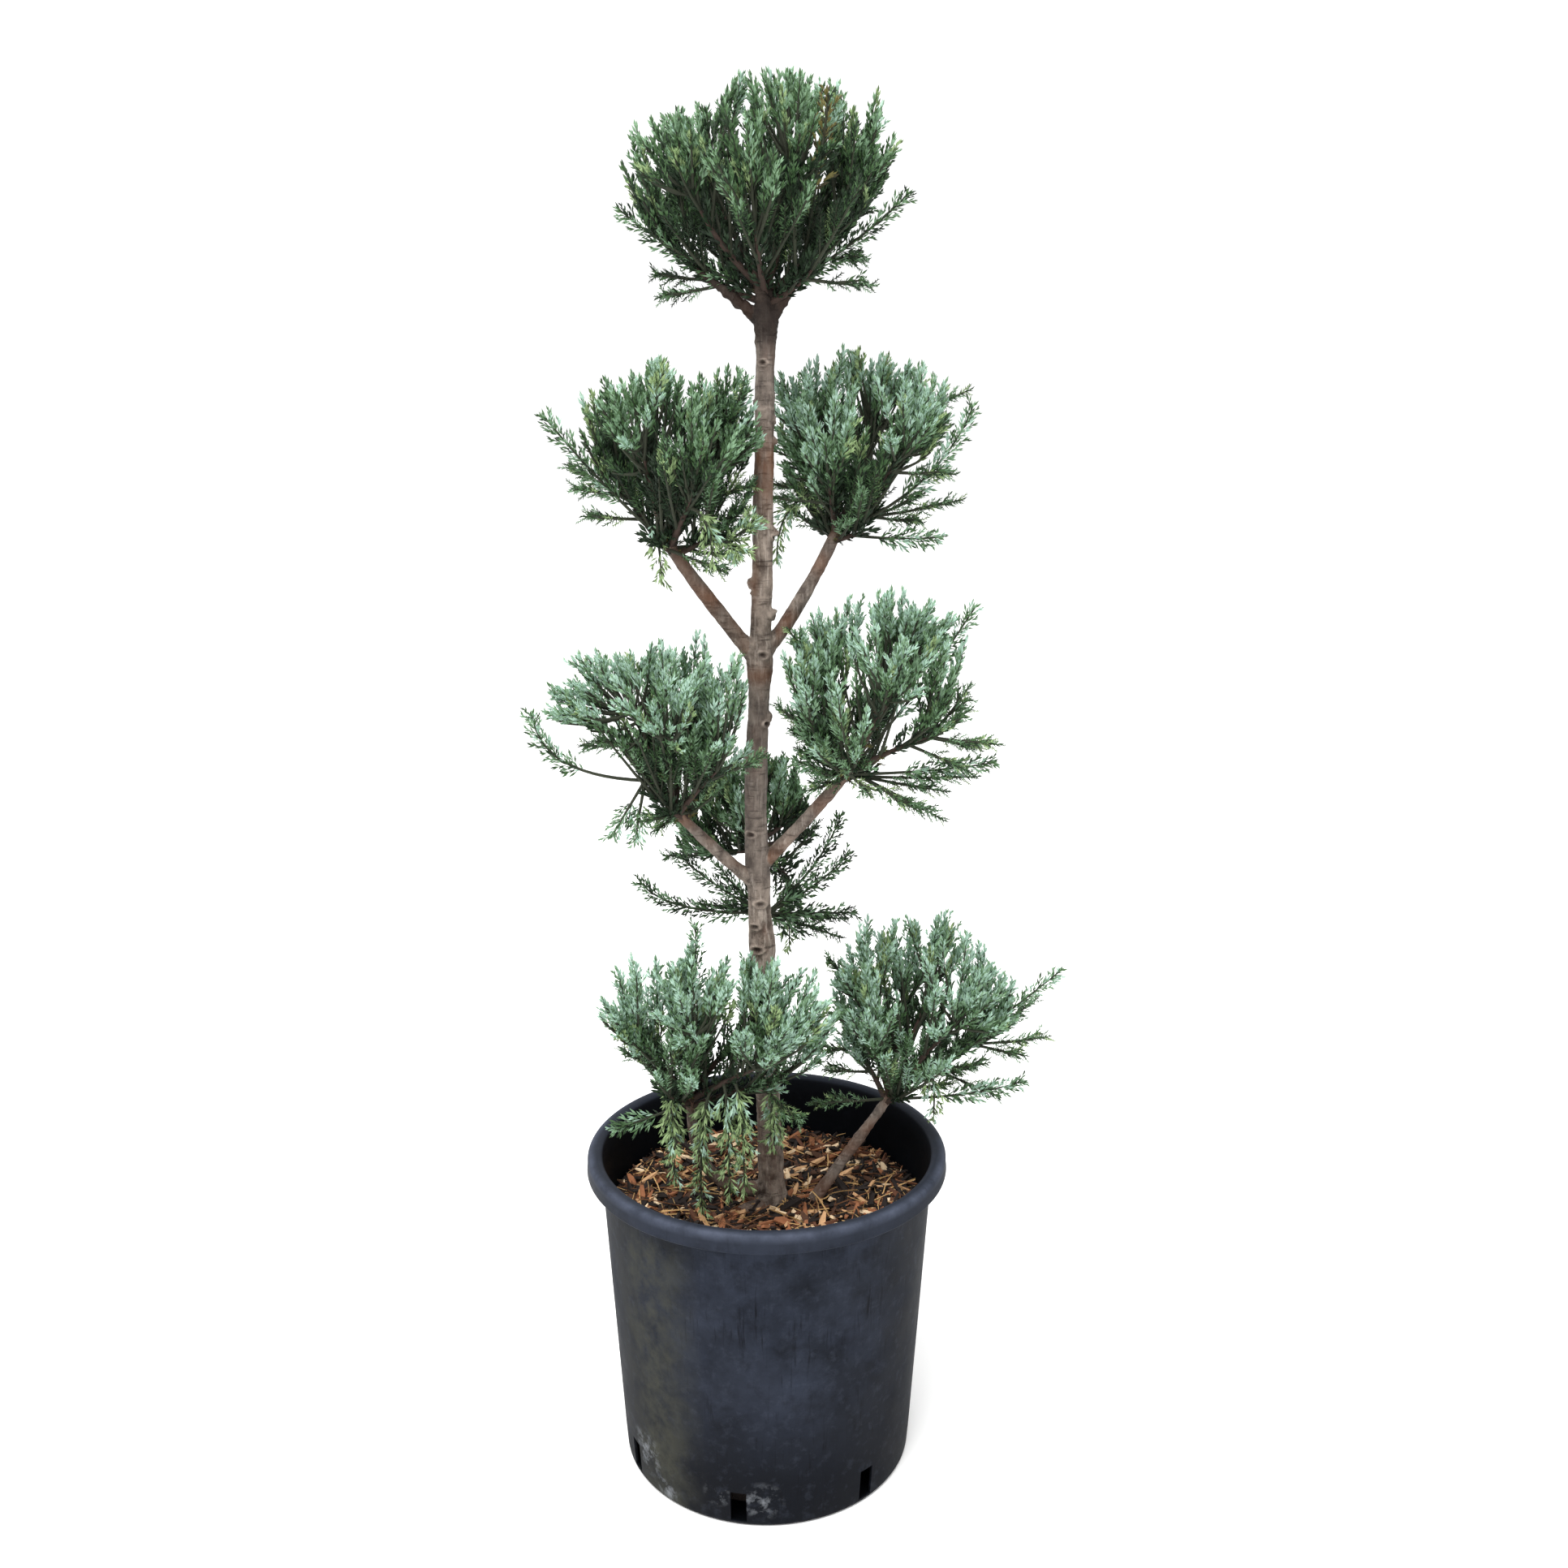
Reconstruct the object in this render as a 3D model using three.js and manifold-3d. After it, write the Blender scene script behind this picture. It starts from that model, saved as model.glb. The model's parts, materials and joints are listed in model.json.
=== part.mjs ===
// Potted juniper pompon topiary: a slender clipped conifer in a black nursery pot.
// One trunk carries tiers of bare boughs, and each bough ends in a feathery tuft of foliage.
// Units are millimetres, +Z is up, and the origin is the centre of the pot's flat underside.
import * as THREE from "three";
import { mergeVertices } from "three/addons/utils/BufferGeometryUtils.js";
import Module from "manifold-3d";

const wasm = await Module();
wasm.setup();

// Clearance between two pieces that meet
const SEAT = 0.3;
const UP = new THREE.Vector3(0, 0, 1);
const GOLDEN_ANGLE = Math.PI * (3 - Math.sqrt(5));

// Pot: a tapered round nursery pot with a rolled rim and upright drain slots round its foot
const POT = {
  height: 271,
  rimRadius: 150,
  rimHeight: 15,
  rimWidth: 11,
  neckRadius: 139,
  footRadius: 122,
  wall: 2.6,
  floor: 3.2,
  sides: 44,
};
const SLOT = { count: 7, width: 13, low: 4, high: 31, first: -11 };
const MIX_TOP = 220;

// Trunk: its line at five heights, and the radius that it tapers through
const TRUNK = {
  line: [
    [5, 0, MIX_TOP - 10],
    [-3, 1, 430],
    [-8, 0, 560],
    [-3, -1, 720],
    [1, 0, 936],
  ],
  baseRadius: 10.2,
  tipRadius: 6.6,
  flare: 5.5,
  flareHeight: 14,
  swellHeight: 13,
  sides: 10,
  steps: 24,
};

// Swellings of the trunk where boughs leave it: height and extra radius
const TRUNK_SWELLS = [
  { at: 446, extra: 1.6 },
  { at: 507, extra: 0.8 },
  { at: 678, extra: 2.4 },
  { at: 930, extra: 1.8 },
];

// Boughs: where each leaves the trunk or the potting mix, the bend it passes near, and its tip
const BOUGHS = {
  bough_low_left: { from: [3, -2, 234], bend: [-56, -18, 226], tip: [-61, -36, 315], thick: [6, 4.4] },
  bough_low_right: { from: [33, -6, 212], bend: [66, 2, 258], tip: [95, 8, 297], thick: [5.2, 4.2] },
  bough_mid_left: { from: [-6, 0, 496], bend: [-34, -16, 524], tip: [-60, -30, 555], thick: [5.4, 4.4] },
  bough_mid_right: { from: [-7, 0, 510], bend: [22, -10, 542], tip: [55, -22, 584], thick: [5.8, 4.6] },
  bough_mid_back: { from: [-5, 0, 472], bend: [-4, 34, 484], tip: [-5, 58, 504], thick: [5, 4.2] },
  bough_high_left: { from: [-4, 0, 676], bend: [-36, -11, 716], tip: [-64, -22, 757], thick: [6.6, 5.1] },
  bough_high_right: { from: [-4, 0, 680], bend: [26, 13, 716], tip: [50, 26, 764], thick: [6.4, 5.1] },
};
const BOUGH_SIDES = 7;
const BOUGH_STEPS = 5;

// Tufts: the limb each grows from, the ellipsoid that its clipped tips fill, its number of limbs,
// the turn of its first limb, its long stray shoots, and the sprays that hang from its foot
const TUFTS = {
  pompon_top: {
    on: "trunk", centre: [-4, 0, 1026], reach: [101, 98, 83], limbs: 9, turn: 0.4,
    strays: [[104, -8, 1016], [-98, -12, 1008]], hanging: [],
  },
  pompon_high_left: {
    on: "bough_high_left", centre: [-74, -36, 834], reach: [73, 72, 74], limbs: 6, turn: 1.9,
    strays: [[-159, -40, 861]], hanging: [[-78, -24, 738]],
  },
  pompon_high_right: {
    on: "bough_high_right", centre: [80, 40, 839], reach: [78, 75, 78], limbs: 6, turn: 0.9,
    strays: [[160, 28, 871], [134, 20, 770]], hanging: [[14, 28, 752]],
  },
  pompon_mid_left: {
    on: "bough_mid_left", centre: [-88, -46, 630], reach: [78, 74, 70], limbs: 6, turn: 2.6,
    strays: [[-174, -52, 645]], hanging: [[-108, -40, 546]],
  },
  pompon_mid_right: {
    on: "bough_mid_right", centre: [88, -30, 653], reach: [82, 76, 84], limbs: 7, turn: 0.2,
    strays: [[174, -34, 604], [162, -20, 716]], hanging: [],
  },
  pompon_mid_back: {
    on: "bough_mid_back", centre: [-5, 98, 528], reach: [82, 70, 82], limbs: 6, turn: 1.2,
    strays: [[-110, 88, 474], [72, 78, 548]], hanging: [[52, 84, 446]],
  },
  pompon_low_left: {
    on: "bough_low_left", centre: [-38, -62, 396], reach: [90, 74, 72], limbs: 7, turn: 2.2,
    strays: [[-50, -60, 482], [-122, -52, 312]],
    hanging: [[-52, -52, 235], [-27, -56, 250], [-68, -48, 248], [-38, -66, 262]],
  },
  pompon_low_right: {
    on: "bough_low_right", centre: [136, 15, 384], reach: [90, 82, 78], limbs: 7, turn: 0.7,
    strays: [[244, 14, 418], [226, 8, 352]], hanging: [[50, 4, 306]],
  },
};

// Growth rule of a tuft, as shares of the way from its stem to the ellipsoid
const GROWTH = {
  stemLength: 24,
  lowestCosine: -0.35,
  limbShare: 0.6,
  limbBow: 0.12,
  limbSag: 0.08,
  limbSteps: 2,
  limbRadius: 0.6,
  twigsPerLimb: 4,
  firstTwig: 0.24,
  lastTwig: 0.92,
  twigLongest: 95,
  strayRadius: 2.2,
  sideSprays: [0.34, 0.22],
  sprayLongest: 66,
  sprayShortest: 24,
  sprayWidth: 0.36,
  sprayThickness: 3.6,
  hangBow: 0.22,
  hangBare: 0.45,
  strayBare: 0.76,
};

const bark = new THREE.MeshStandardMaterial({ color: 0x7d6a60, roughness: 0.85, metalness: 0 });
const needles = new THREE.MeshStandardMaterial({ color: 0x5d8270, roughness: 0.6, metalness: 0 });
const plastic = new THREE.MeshStandardMaterial({ color: 0x2b2e35, roughness: 0.5, metalness: 0 });
const barkChips = new THREE.MeshStandardMaterial({ color: 0x5b3a26, roughness: 0.9, metalness: 0 });

const vector = (point) => new THREE.Vector3(...point);

// A repeatable number from 0 to 1 for the given indices
function chance(...indices) {
  const mixed = indices.reduce((sum, index, place) => sum + index * (12.9898 + 65.314 * place), 4.1414);
  const wave = Math.sin(mixed) * 43758.5453;
  return wave - Math.floor(wave);
}

// Closed three.js geometry to a solid, and a solid back to a geometry
function solidOf(geometry) {
  const bare = geometry.clone();
  bare.deleteAttribute("normal");
  bare.deleteAttribute("uv");
  const merged = mergeVertices(bare, 1e-4);
  const vertProperties = merged.getAttribute("position").array;
  const triVerts = new Uint32Array(merged.index.array);
  return new wasm.Manifold(new wasm.Mesh({ numProp: 3, vertProperties, triVerts }));
}

function geometryOf(solid) {
  const { vertProperties, triVerts } = solid.getMesh();
  const geometry = new THREE.BufferGeometry();
  geometry.setAttribute("position", new THREE.BufferAttribute(vertProperties, 3));
  geometry.setIndex(new THREE.BufferAttribute(triVerts, 1));
  geometry.computeVertexNormals();
  return geometry;
}

// The outer shell of the largest piece, so that loose scraps and sealed hollows are dropped
function largestShell(solid) {
  return solid.decompose().reduce((best, piece) => (piece.volume() > best.volume() ? piece : best));
}

// A round limb: a closed cylinder bent along a curve, its radius given along the way from 0 to 1
function limbGeometry(curve, radiusAt, sides, steps) {
  const geometry = new THREE.CylinderGeometry(1, 1, 1, sides, steps);
  const frames = curve.computeFrenetFrames(steps, false);
  const position = geometry.getAttribute("position");
  const centre = new THREE.Vector3();
  for (let i = 0; i < position.count; i++) {
    const along = position.getY(i) + 0.5;
    const step = Math.round(along * steps);
    const radius = radiusAt(along);
    curve.getPointAt(along, centre);
    centre.addScaledVector(frames.normals[step], position.getZ(i) * radius);
    centre.addScaledVector(frames.binormals[step], position.getX(i) * radius);
    position.setXYZ(i, centre.x, centre.y, centre.z);
  }
  return geometry;
}

const taper = (from, to) => (along) => from + (to - from) * along;

// Pot wall radius outside, at a height
const wallRadius = (z) => POT.footRadius + ((POT.neckRadius - POT.footRadius) * z) / POT.height;

function potSolid() {
  const { height, rimRadius, rimHeight, rimWidth, wall, floor, footRadius } = POT;
  const inner = (z) => wallRadius(z) - wall;
  const lip = rimHeight / 5;
  const profile = [
    [0, 0],
    [footRadius - 2, 0],
    [footRadius, 2],
    [wallRadius(height - rimHeight), height - rimHeight],
    [rimRadius - 1, height - rimHeight],
    [rimRadius, height - rimHeight + lip],
    [rimRadius, height - lip],
    [rimRadius - lip, height],
    [rimRadius - rimWidth + lip, height],
    [rimRadius - rimWidth - wall, height - lip],
    [inner(height - rimHeight), height - rimHeight],
    [inner(floor), floor],
    [0, floor],
  ].map(([r, z]) => new THREE.Vector2(r, z));
  const shell = new THREE.LatheGeometry(profile, POT.sides).rotateX(Math.PI / 2);
  return slotSolids().reduce((pot, slot) => pot.subtract(slot), solidOf(shell));
}

// Drain slots: upright boxes through the wall, the first just left of the front
function slotSolids() {
  const tall = SLOT.high - SLOT.low;
  const deep = 24;
  return Array.from({ length: SLOT.count }, (_, i) => {
    const slot = new THREE.BoxGeometry(SLOT.width, deep, tall);
    slot.translate(0, -wallRadius(SLOT.low), SLOT.low + tall / 2);
    slot.rotateZ(THREE.MathUtils.degToRad(SLOT.first) + (i * 2 * Math.PI) / SLOT.count);
    return solidOf(slot);
  });
}

// Potting mix: fills the pot from its floor to the level where the trunk comes out
function mixSolid() {
  const low = POT.floor + SEAT;
  const edge = (z) => wallRadius(z) - POT.wall - SEAT / Math.cos(Math.PI / POT.sides);
  const profile = [
    [0, low],
    [edge(low), low],
    [edge(MIX_TOP), MIX_TOP],
    [0, MIX_TOP],
  ].map(([r, z]) => new THREE.Vector2(r, z));
  return solidOf(new THREE.LatheGeometry(profile, POT.sides).rotateX(Math.PI / 2));
}

// Everything below the trunk's flat cut at the top of the mix
function groundBlock() {
  const top = MIX_TOP + SEAT;
  const depth = 100;
  return solidOf(new THREE.BoxGeometry(400, 400, depth).translate(0, 0, top - depth / 2));
}

function trunkRadius(z) {
  const low = MIX_TOP;
  const high = TRUNK.line.at(-1)[2];
  const along = THREE.MathUtils.clamp((z - low) / (high - low), 0, 1);
  const flare = TRUNK.flare * Math.exp(-Math.max(0, z - low) / TRUNK.flareHeight);
  const swells = TRUNK_SWELLS.reduce(
    (sum, { at, extra }) => sum + extra * Math.exp(-(((z - at) / TRUNK.swellHeight) ** 2)),
    0,
  );
  return taper(TRUNK.baseRadius, TRUNK.tipRadius)(along) + flare + swells;
}

function trunkSolid(extra = 0) {
  const curve = new THREE.CatmullRomCurve3(TRUNK.line.map(vector));
  const radiusAt = (along) => trunkRadius(curve.getPointAt(along).z) + extra;
  return solidOf(limbGeometry(curve, radiusAt, TRUNK.sides, TRUNK.steps)).subtract(groundBlock());
}

const boughCurve = ({ from, bend, tip }) =>
  new THREE.QuadraticBezierCurve3(vector(from), vector(bend), vector(tip));

// A bough is cut to the trunk's own round where it leaves it, or flat where it leaves the mix
function boughSolid(bough, trunkClear, extra = 0) {
  const radiusAt = (along) => taper(...bough.thick)(along) + extra;
  const limb = limbGeometry(boughCurve(bough), radiusAt, BOUGH_SIDES, BOUGH_STEPS);
  return largestShell(solidOf(limb).subtract(trunkClear).subtract(groundBlock()));
}

// A spray of scale leaves along +X: a flat blade, toothed on both edges and thickest at its middle.
// A stalked spray has a slim bare twig as its lower part.
const BLADE = [[0, 0], [0.34, 0.5], [0.46, 0.22], [1, 0], [0.58, -0.2], [0.48, -0.46]];
const STALKED = [
  [0, 0],
  [0.38, 0.06],
  [0.52, 0.5],
  [0.62, 0.2],
  [1, 0],
  [0.72, -0.18],
  [0.64, -0.46],
  [0.4, -0.06],
];

function sprayGeometry(outline, middle) {
  const points = [[middle, 0, 0.5], [middle, 0, -0.5], ...outline.map(([u, v]) => [u, v, 0])];
  const index = outline.flatMap((_, i) => {
    const here = i + 2;
    const next = ((i + 1) % outline.length) + 2;
    return [0, next, here, 1, here, next];
  });
  const geometry = new THREE.BufferGeometry();
  geometry.setAttribute("position", new THREE.Float32BufferAttribute(points.flat(), 3));
  geometry.setIndex(index);
  return geometry;
}
const SPRAY = sprayGeometry(BLADE, 0.45);
const STALKED_SPRAY = sprayGeometry(STALKED, 0.58);

function sprayPiece(kind, root, direction, length, width, face) {
  const across = new THREE.Vector3().crossVectors(face, direction).normalize();
  const thick = new THREE.Vector3().crossVectors(direction, across);
  const place = new THREE.Matrix4().makeBasis(
    direction.clone().multiplyScalar(length),
    across.multiplyScalar(width),
    thick.multiplyScalar(GROWTH.sprayThickness),
  );
  return solidOf(kind.clone().applyMatrix4(place.setPosition(root)));
}

// A three-sided twig along a line of points, tapering to half its radius
function twigPiece(line, radius) {
  const last = line.length - 1;
  const points = [];
  const index = [0, 2, 1, last * 3, last * 3 + 1, last * 3 + 2];
  line.forEach((centre, step) => {
    const ahead = line[Math.min(step + 1, last)].clone().sub(line[Math.max(step - 1, 0)]).normalize();
    for (let corner = 0; corner < 3; corner++) {
      const edge = sideways(ahead, (corner * 2 * Math.PI) / 3);
      points.push(centre.clone().addScaledVector(edge, radius * (1 - (0.5 * step) / last)));
      const here = step * 3 + corner;
      const beside = step * 3 + ((corner + 1) % 3);
      if (step < last) index.push(here, beside, here + 3, beside, beside + 3, here + 3);
    }
  });
  const geometry = new THREE.BufferGeometry().setFromPoints(points);
  geometry.setIndex(index);
  return solidOf(geometry);
}

// The point and the direction at a share of the way along a line of points
function onLine(line, along) {
  const place = along * (line.length - 1);
  const step = Math.min(Math.floor(place), line.length - 2);
  const [from, to] = [line[step], line[step + 1]];
  return { point: from.clone().lerp(to, place - step), way: to.clone().sub(from).normalize() };
}

// How far a ray from a point runs before it leaves the tuft's ellipsoid
function reachAlong(tuft, point, direction) {
  const scaled = (v) => v.clone().divide(vector(tuft.reach));
  const p = scaled(point.clone().sub(vector(tuft.centre)));
  const d = scaled(direction);
  const b = p.dot(d);
  const root = b * b - d.lengthSq() * (p.lengthSq() - 1);
  return root > 0 ? (-b + Math.sqrt(root)) / d.lengthSq() : 0;
}

// The tuft's stem, which starts a clearance past the tip that it grows from
function stemOf(tuft) {
  const curve = tuft.on === "trunk"
    ? new THREE.CatmullRomCurve3(TRUNK.line.map(vector))
    : boughCurve(BOUGHS[tuft.on]);
  const axis = curve.getTangentAt(1);
  const radius = tuft.on === "trunk" ? TRUNK.tipRadius : BOUGHS[tuft.on].thick[1];
  const foot = curve.getPointAt(1).addScaledVector(axis, SEAT);
  const top = foot.clone().addScaledVector(axis, GROWTH.stemLength);
  return { curve: new THREE.LineCurve3(foot, top), radius };
}

// The end of each limb, spread evenly over the ellipsoid by the golden angle from its top downwards
function limbTarget(tuft, i) {
  const height = 1 - ((1 - GROWTH.lowestCosine) * (i + 0.5)) / tuft.limbs;
  const round = Math.sqrt(1 - height * height);
  const turn = tuft.turn + i * GOLDEN_ANGLE;
  return vector([round * Math.cos(turn), round * Math.sin(turn), height])
    .multiply(vector(tuft.reach))
    .add(vector(tuft.centre));
}

// A limb runs outwards first and then turns up
function limbLine(start, end) {
  const run = end.clone().sub(start);
  const length = run.length();
  const outward = run.clone().setZ(0).normalize();
  const bend = start.clone().addScaledVector(run, 0.5);
  bend.addScaledVector(outward, GROWTH.limbBow * length).addScaledVector(UP, -GROWTH.limbSag * length);
  return new THREE.QuadraticBezierCurve3(start, bend, end).getPoints(GROWTH.limbSteps);
}

// Any direction square to the given one, turned about it
function sideways(direction, turn) {
  const level = new THREE.Vector3().crossVectors(direction, UP).normalize();
  return level.applyAxisAngle(direction, turn);
}

function mixed(parts) {
  const sum = new THREE.Vector3();
  parts.forEach(([direction, share]) => sum.addScaledVector(direction, share));
  return sum.normalize();
}

// Grows one tuft: a stem, its limbs, twigs on the limbs, and sprays on the twigs.
// A piece that would touch what is in the way is left out, with all that it would carry.
function tuftSolid(tuft, obstacles) {
  const stem = stemOf(tuft);
  const pieces = [];
  const sprays = [];
  const clearOf = (solids, piece) => solids.every((solid) => solid.intersect(piece).isEmpty());
  const keep = (piece) => {
    const clear = clearOf(obstacles, piece);
    if (clear) pieces.push(piece);
    return clear;
  };
  // Sprays don't cross each other, apart from the one that a spray grows on
  const keepSpray = (piece, parent) => {
    const clear = clearOf(sprays.filter((other) => other !== parent), piece) && keep(piece);
    if (clear) sprays.push(piece);
    return clear;
  };
  const spray = (root, direction, face, parent) => {
    const length = Math.min(reachAlong(tuft, root, direction), GROWTH.sprayLongest);
    const width = length * GROWTH.sprayWidth;
    if (length < GROWTH.sprayShortest) return;
    keepSpray(sprayPiece(SPRAY, root, direction, length, width, face), parent);
  };
  // A twig and the spray at its end, with other sprays beside it
  const shoot = (from, direction, turn) => {
    const length = Math.min(reachAlong(tuft, from, direction), GROWTH.twigLongest);
    const width = GROWTH.sprayWidth * GROWTH.sprayLongest;
    const twig = sprayPiece(STALKED_SPRAY, from, direction, length, width, sideways(direction, turn));
    if (length < GROWTH.sprayShortest || !keepSpray(twig)) return;
    GROWTH.sideSprays.forEach((along, k) => {
      const side = mixed([[direction, 0.55], [sideways(direction, turn + Math.PI * k), 0.7], [UP, 0.25]]);
      const fork = from.clone().addScaledVector(direction, length * along);
      spray(fork, side, sideways(side, turn + k), twig);
    });
  };
  // A long shoot keeps its line, with a spray at its end and others beside it on its outer half
  const longShoot = (line, tip, turn, besides) => {
    if (!keep(twigPiece(line, GROWTH.strayRadius))) return;
    const { point } = onLine(line, 0.9);
    const ahead = tip.clone().sub(point);
    const length = ahead.length();
    const width = length * GROWTH.sprayWidth;
    keep(sprayPiece(SPRAY, point, ahead.normalize(), length, width, sideways(ahead, turn)));
    besides.forEach((along, j) => {
      const fork = onLine(line, along);
      const side = mixed([[fork.way, 0.7], [sideways(fork.way, Math.PI * j), 0.5], [UP, 0.4]]);
      keepSpray(sprayPiece(SPRAY, fork.point, side, length, width, sideways(side, j)));
    });
  };

  pieces.push(solidOf(limbGeometry(stem.curve, taper(stem.radius, stem.radius * 0.8), 5, 1)));
  for (let i = 0; i < tuft.limbs; i++) {
    const heart = stem.curve.getPoint(0.92 - (0.6 * i) / tuft.limbs);
    const line = limbLine(heart, heart.clone().lerp(limbTarget(tuft, i), GROWTH.limbShare));
    if (!keep(twigPiece(line, stem.radius * GROWTH.limbRadius))) continue;
    const end = onLine(line, 0.95);
    const ahead = mixed([[end.way, 0.8], [UP, 0.4]]);
    spray(end.point, ahead, sideways(ahead, chance(tuft.turn, i) * 6));
    for (let j = 0; j < GROWTH.twigsPerLimb; j++) {
      const along = taper(GROWTH.firstTwig, GROWTH.lastTwig)(j / (GROWTH.twigsPerLimb - 1));
      const turn = (i * GROWTH.twigsPerLimb + j) * GOLDEN_ANGLE;
      const { point, way } = onLine(line, along);
      shoot(point, mixed([[way, 0.5], [sideways(way, turn), 0.65], [UP, 0.45]]), turn);
    }
  }
  const low = stem.curve.getPoint(0.5);
  tuft.strays.map(vector).forEach((tip, i) => {
    longShoot(limbLine(low, low.clone().lerp(tip, GROWTH.strayBare)), tip, i, [0.6, 0.8]);
  });
  tuft.hanging.map(vector).forEach((tip, i) => {
    const bend = tip.clone().setZ(low.z + GROWTH.hangBow * low.distanceTo(tip));
    const droop = new THREE.QuadraticBezierCurve3(low, bend, low.clone().lerp(tip, GROWTH.hangBare));
    longShoot(droop.getPoints(GROWTH.limbSteps + 1), tip, Math.PI / 2 + 0.4 * i, []);
  });
  return largestShell(wasm.Manifold.union(pieces));
}

const plant = new THREE.Group();

function addNode(name, solid, material) {
  const mesh = new THREE.Mesh(geometryOf(solid), material);
  mesh.name = name;
  plant.add(mesh);
}

const pot = potSolid();
const mix = mixSolid();
addNode("pot", pot, plastic);
addNode("potting_mix", mix, barkChips);
addNode("trunk", trunkSolid(), bark);

const trunkClear = trunkSolid(SEAT);
const obstacles = [pot, mix, trunkSolid(2 * SEAT)];
for (const [name, bough] of Object.entries(BOUGHS)) {
  addNode(name, boughSolid(bough, trunkClear), bark);
  obstacles.push(boughSolid(bough, trunkClear, SEAT));
}
for (const [name, tuft] of Object.entries(TUFTS)) {
  const solid = tuftSolid(tuft, obstacles);
  addNode(name, solid, needles);
  obstacles.push(solid);
}

export default plant;
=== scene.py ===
import json
import math

import bmesh
import bpy
import numpy as np
from mathutils import Matrix, Quaternion, Vector, noise

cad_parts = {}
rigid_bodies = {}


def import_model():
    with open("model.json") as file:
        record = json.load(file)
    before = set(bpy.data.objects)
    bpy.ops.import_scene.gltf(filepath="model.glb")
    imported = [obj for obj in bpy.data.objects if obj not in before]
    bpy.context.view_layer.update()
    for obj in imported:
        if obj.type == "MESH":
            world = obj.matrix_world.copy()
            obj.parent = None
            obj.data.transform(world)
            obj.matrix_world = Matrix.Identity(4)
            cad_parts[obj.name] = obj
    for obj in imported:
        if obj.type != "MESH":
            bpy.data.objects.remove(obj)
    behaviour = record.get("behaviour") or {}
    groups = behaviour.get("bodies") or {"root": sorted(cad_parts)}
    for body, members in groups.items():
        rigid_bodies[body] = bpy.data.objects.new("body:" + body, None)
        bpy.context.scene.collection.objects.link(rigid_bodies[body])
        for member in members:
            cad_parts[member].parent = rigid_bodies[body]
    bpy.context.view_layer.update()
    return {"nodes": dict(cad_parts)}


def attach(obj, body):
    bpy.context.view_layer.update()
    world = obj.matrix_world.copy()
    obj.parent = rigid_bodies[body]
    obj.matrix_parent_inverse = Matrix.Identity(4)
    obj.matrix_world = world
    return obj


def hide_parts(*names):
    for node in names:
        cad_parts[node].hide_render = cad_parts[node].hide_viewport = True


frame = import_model()
mm = 0.001
up = Vector((0, 0, 1))
eye = Vector((0, -1111.4, 828.7))  # camera's place, mm
goldenAngle = math.pi * (3 - math.sqrt(5))
print("frame loaded with", len(frame["nodes"]), "nodes")


# Small helpers for nodes, trees and pieces

def linear(hexColour):  # sRGB hex to linear RGBA
    channels = [int(hexColour[i:i + 2], 16) / 255 for i in (1, 3, 5)]
    return [c / 12.92 if c <= 0.04045 else ((c + 0.055) / 1.055) ** 2.4 for c in channels] + [1.0]


def addNode(tree, kind, values={}, links={}, **settings):  # a link from a node takes its first output
    node = tree.nodes.new(kind)
    for name, value in settings.items():
        setattr(node, name, value)
    for socket, value in values.items():
        node.inputs[socket].default_value = value
    for socket, source in links.items():
        start = source.outputs[0] if isinstance(source, bpy.types.Node) else source
        tree.links.new(start, node.inputs[socket])
    return node


def startMaterial(name, sockets):  # Principled shader with its constant sockets set
    material = bpy.data.materials.new(name)
    material.use_nodes = True
    tree = material.node_tree
    tree.nodes.clear()
    shader = addNode(tree, "ShaderNodeBsdfPrincipled", sockets)
    addNode(tree, "ShaderNodeOutputMaterial", links={"Surface": shader})
    coords = addNode(tree, "ShaderNodeTexCoord").outputs["Object"]
    return material, tree, shader, coords


def patches(tree, coords, size, low, high, most=1, stretch=(1, 1, 1), detail=6, rough=0.66):
    # mask of noise size mm across, drawn out by stretch, from 0 at low to most at high
    drawn = addNode(tree, "ShaderNodeMapping", {"Scale": stretch}, {0: coords})
    look = {"Scale": 1 / (size * mm), "Detail": detail, "Roughness": rough}
    field = addNode(tree, "ShaderNodeTexNoise", look, {"Vector": drawn})
    return field.outputs["Fac"], low, high, most


def overlap(tree, *masks):  # product of masks: nodes, or a source that goes from 0 at start to most at end
    product = None
    for mask in masks:
        if isinstance(mask, tuple):
            source, start, end, most = mask
            mask = addNode(tree, "ShaderNodeMapRange", {1: start, 2: end, 3: 0, 4: most}, {0: source})
        if product is not None:
            mask = addNode(tree, "ShaderNodeMath", links={0: product, 1: mask}, operation="MULTIPLY")
        product = mask
    return product


def layCoats(tree, shader, dark, light, mottle, coats=()):  # two tones, then each coat's colour by its masks
    tones = {6: linear(dark), 7: linear(light)}
    colour = addNode(tree, "ShaderNodeMix", tones, {0: mottle}, data_type="RGBA")
    for hexColour, *masks in coats:
        below = {0: overlap(tree, *masks), 6: colour.outputs[2]}
        colour = addNode(tree, "ShaderNodeMix", {7: linear(hexColour)}, below, data_type="RGBA")
    tree.links.new(colour.outputs[2], shader.inputs["Base Color"])


def finishSurface(tree, shader, mottle, height, bump, spread):
    # bump: strength and depth in mm; spread: least and most roughness
    if bump:
        look = {"Strength": bump[0], "Distance": bump[1] * mm}
        raised = addNode(tree, "ShaderNodeBump", look, {"Height": height})
        tree.links.new(raised.outputs[0], shader.inputs["Normal"])
    if spread:
        rough = addNode(tree, "ShaderNodeMapRange", {3: spread[0], 4: spread[1]}, {0: mottle})
        tree.links.new(rough.outputs[0], shader.inputs["Roughness"])


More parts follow.
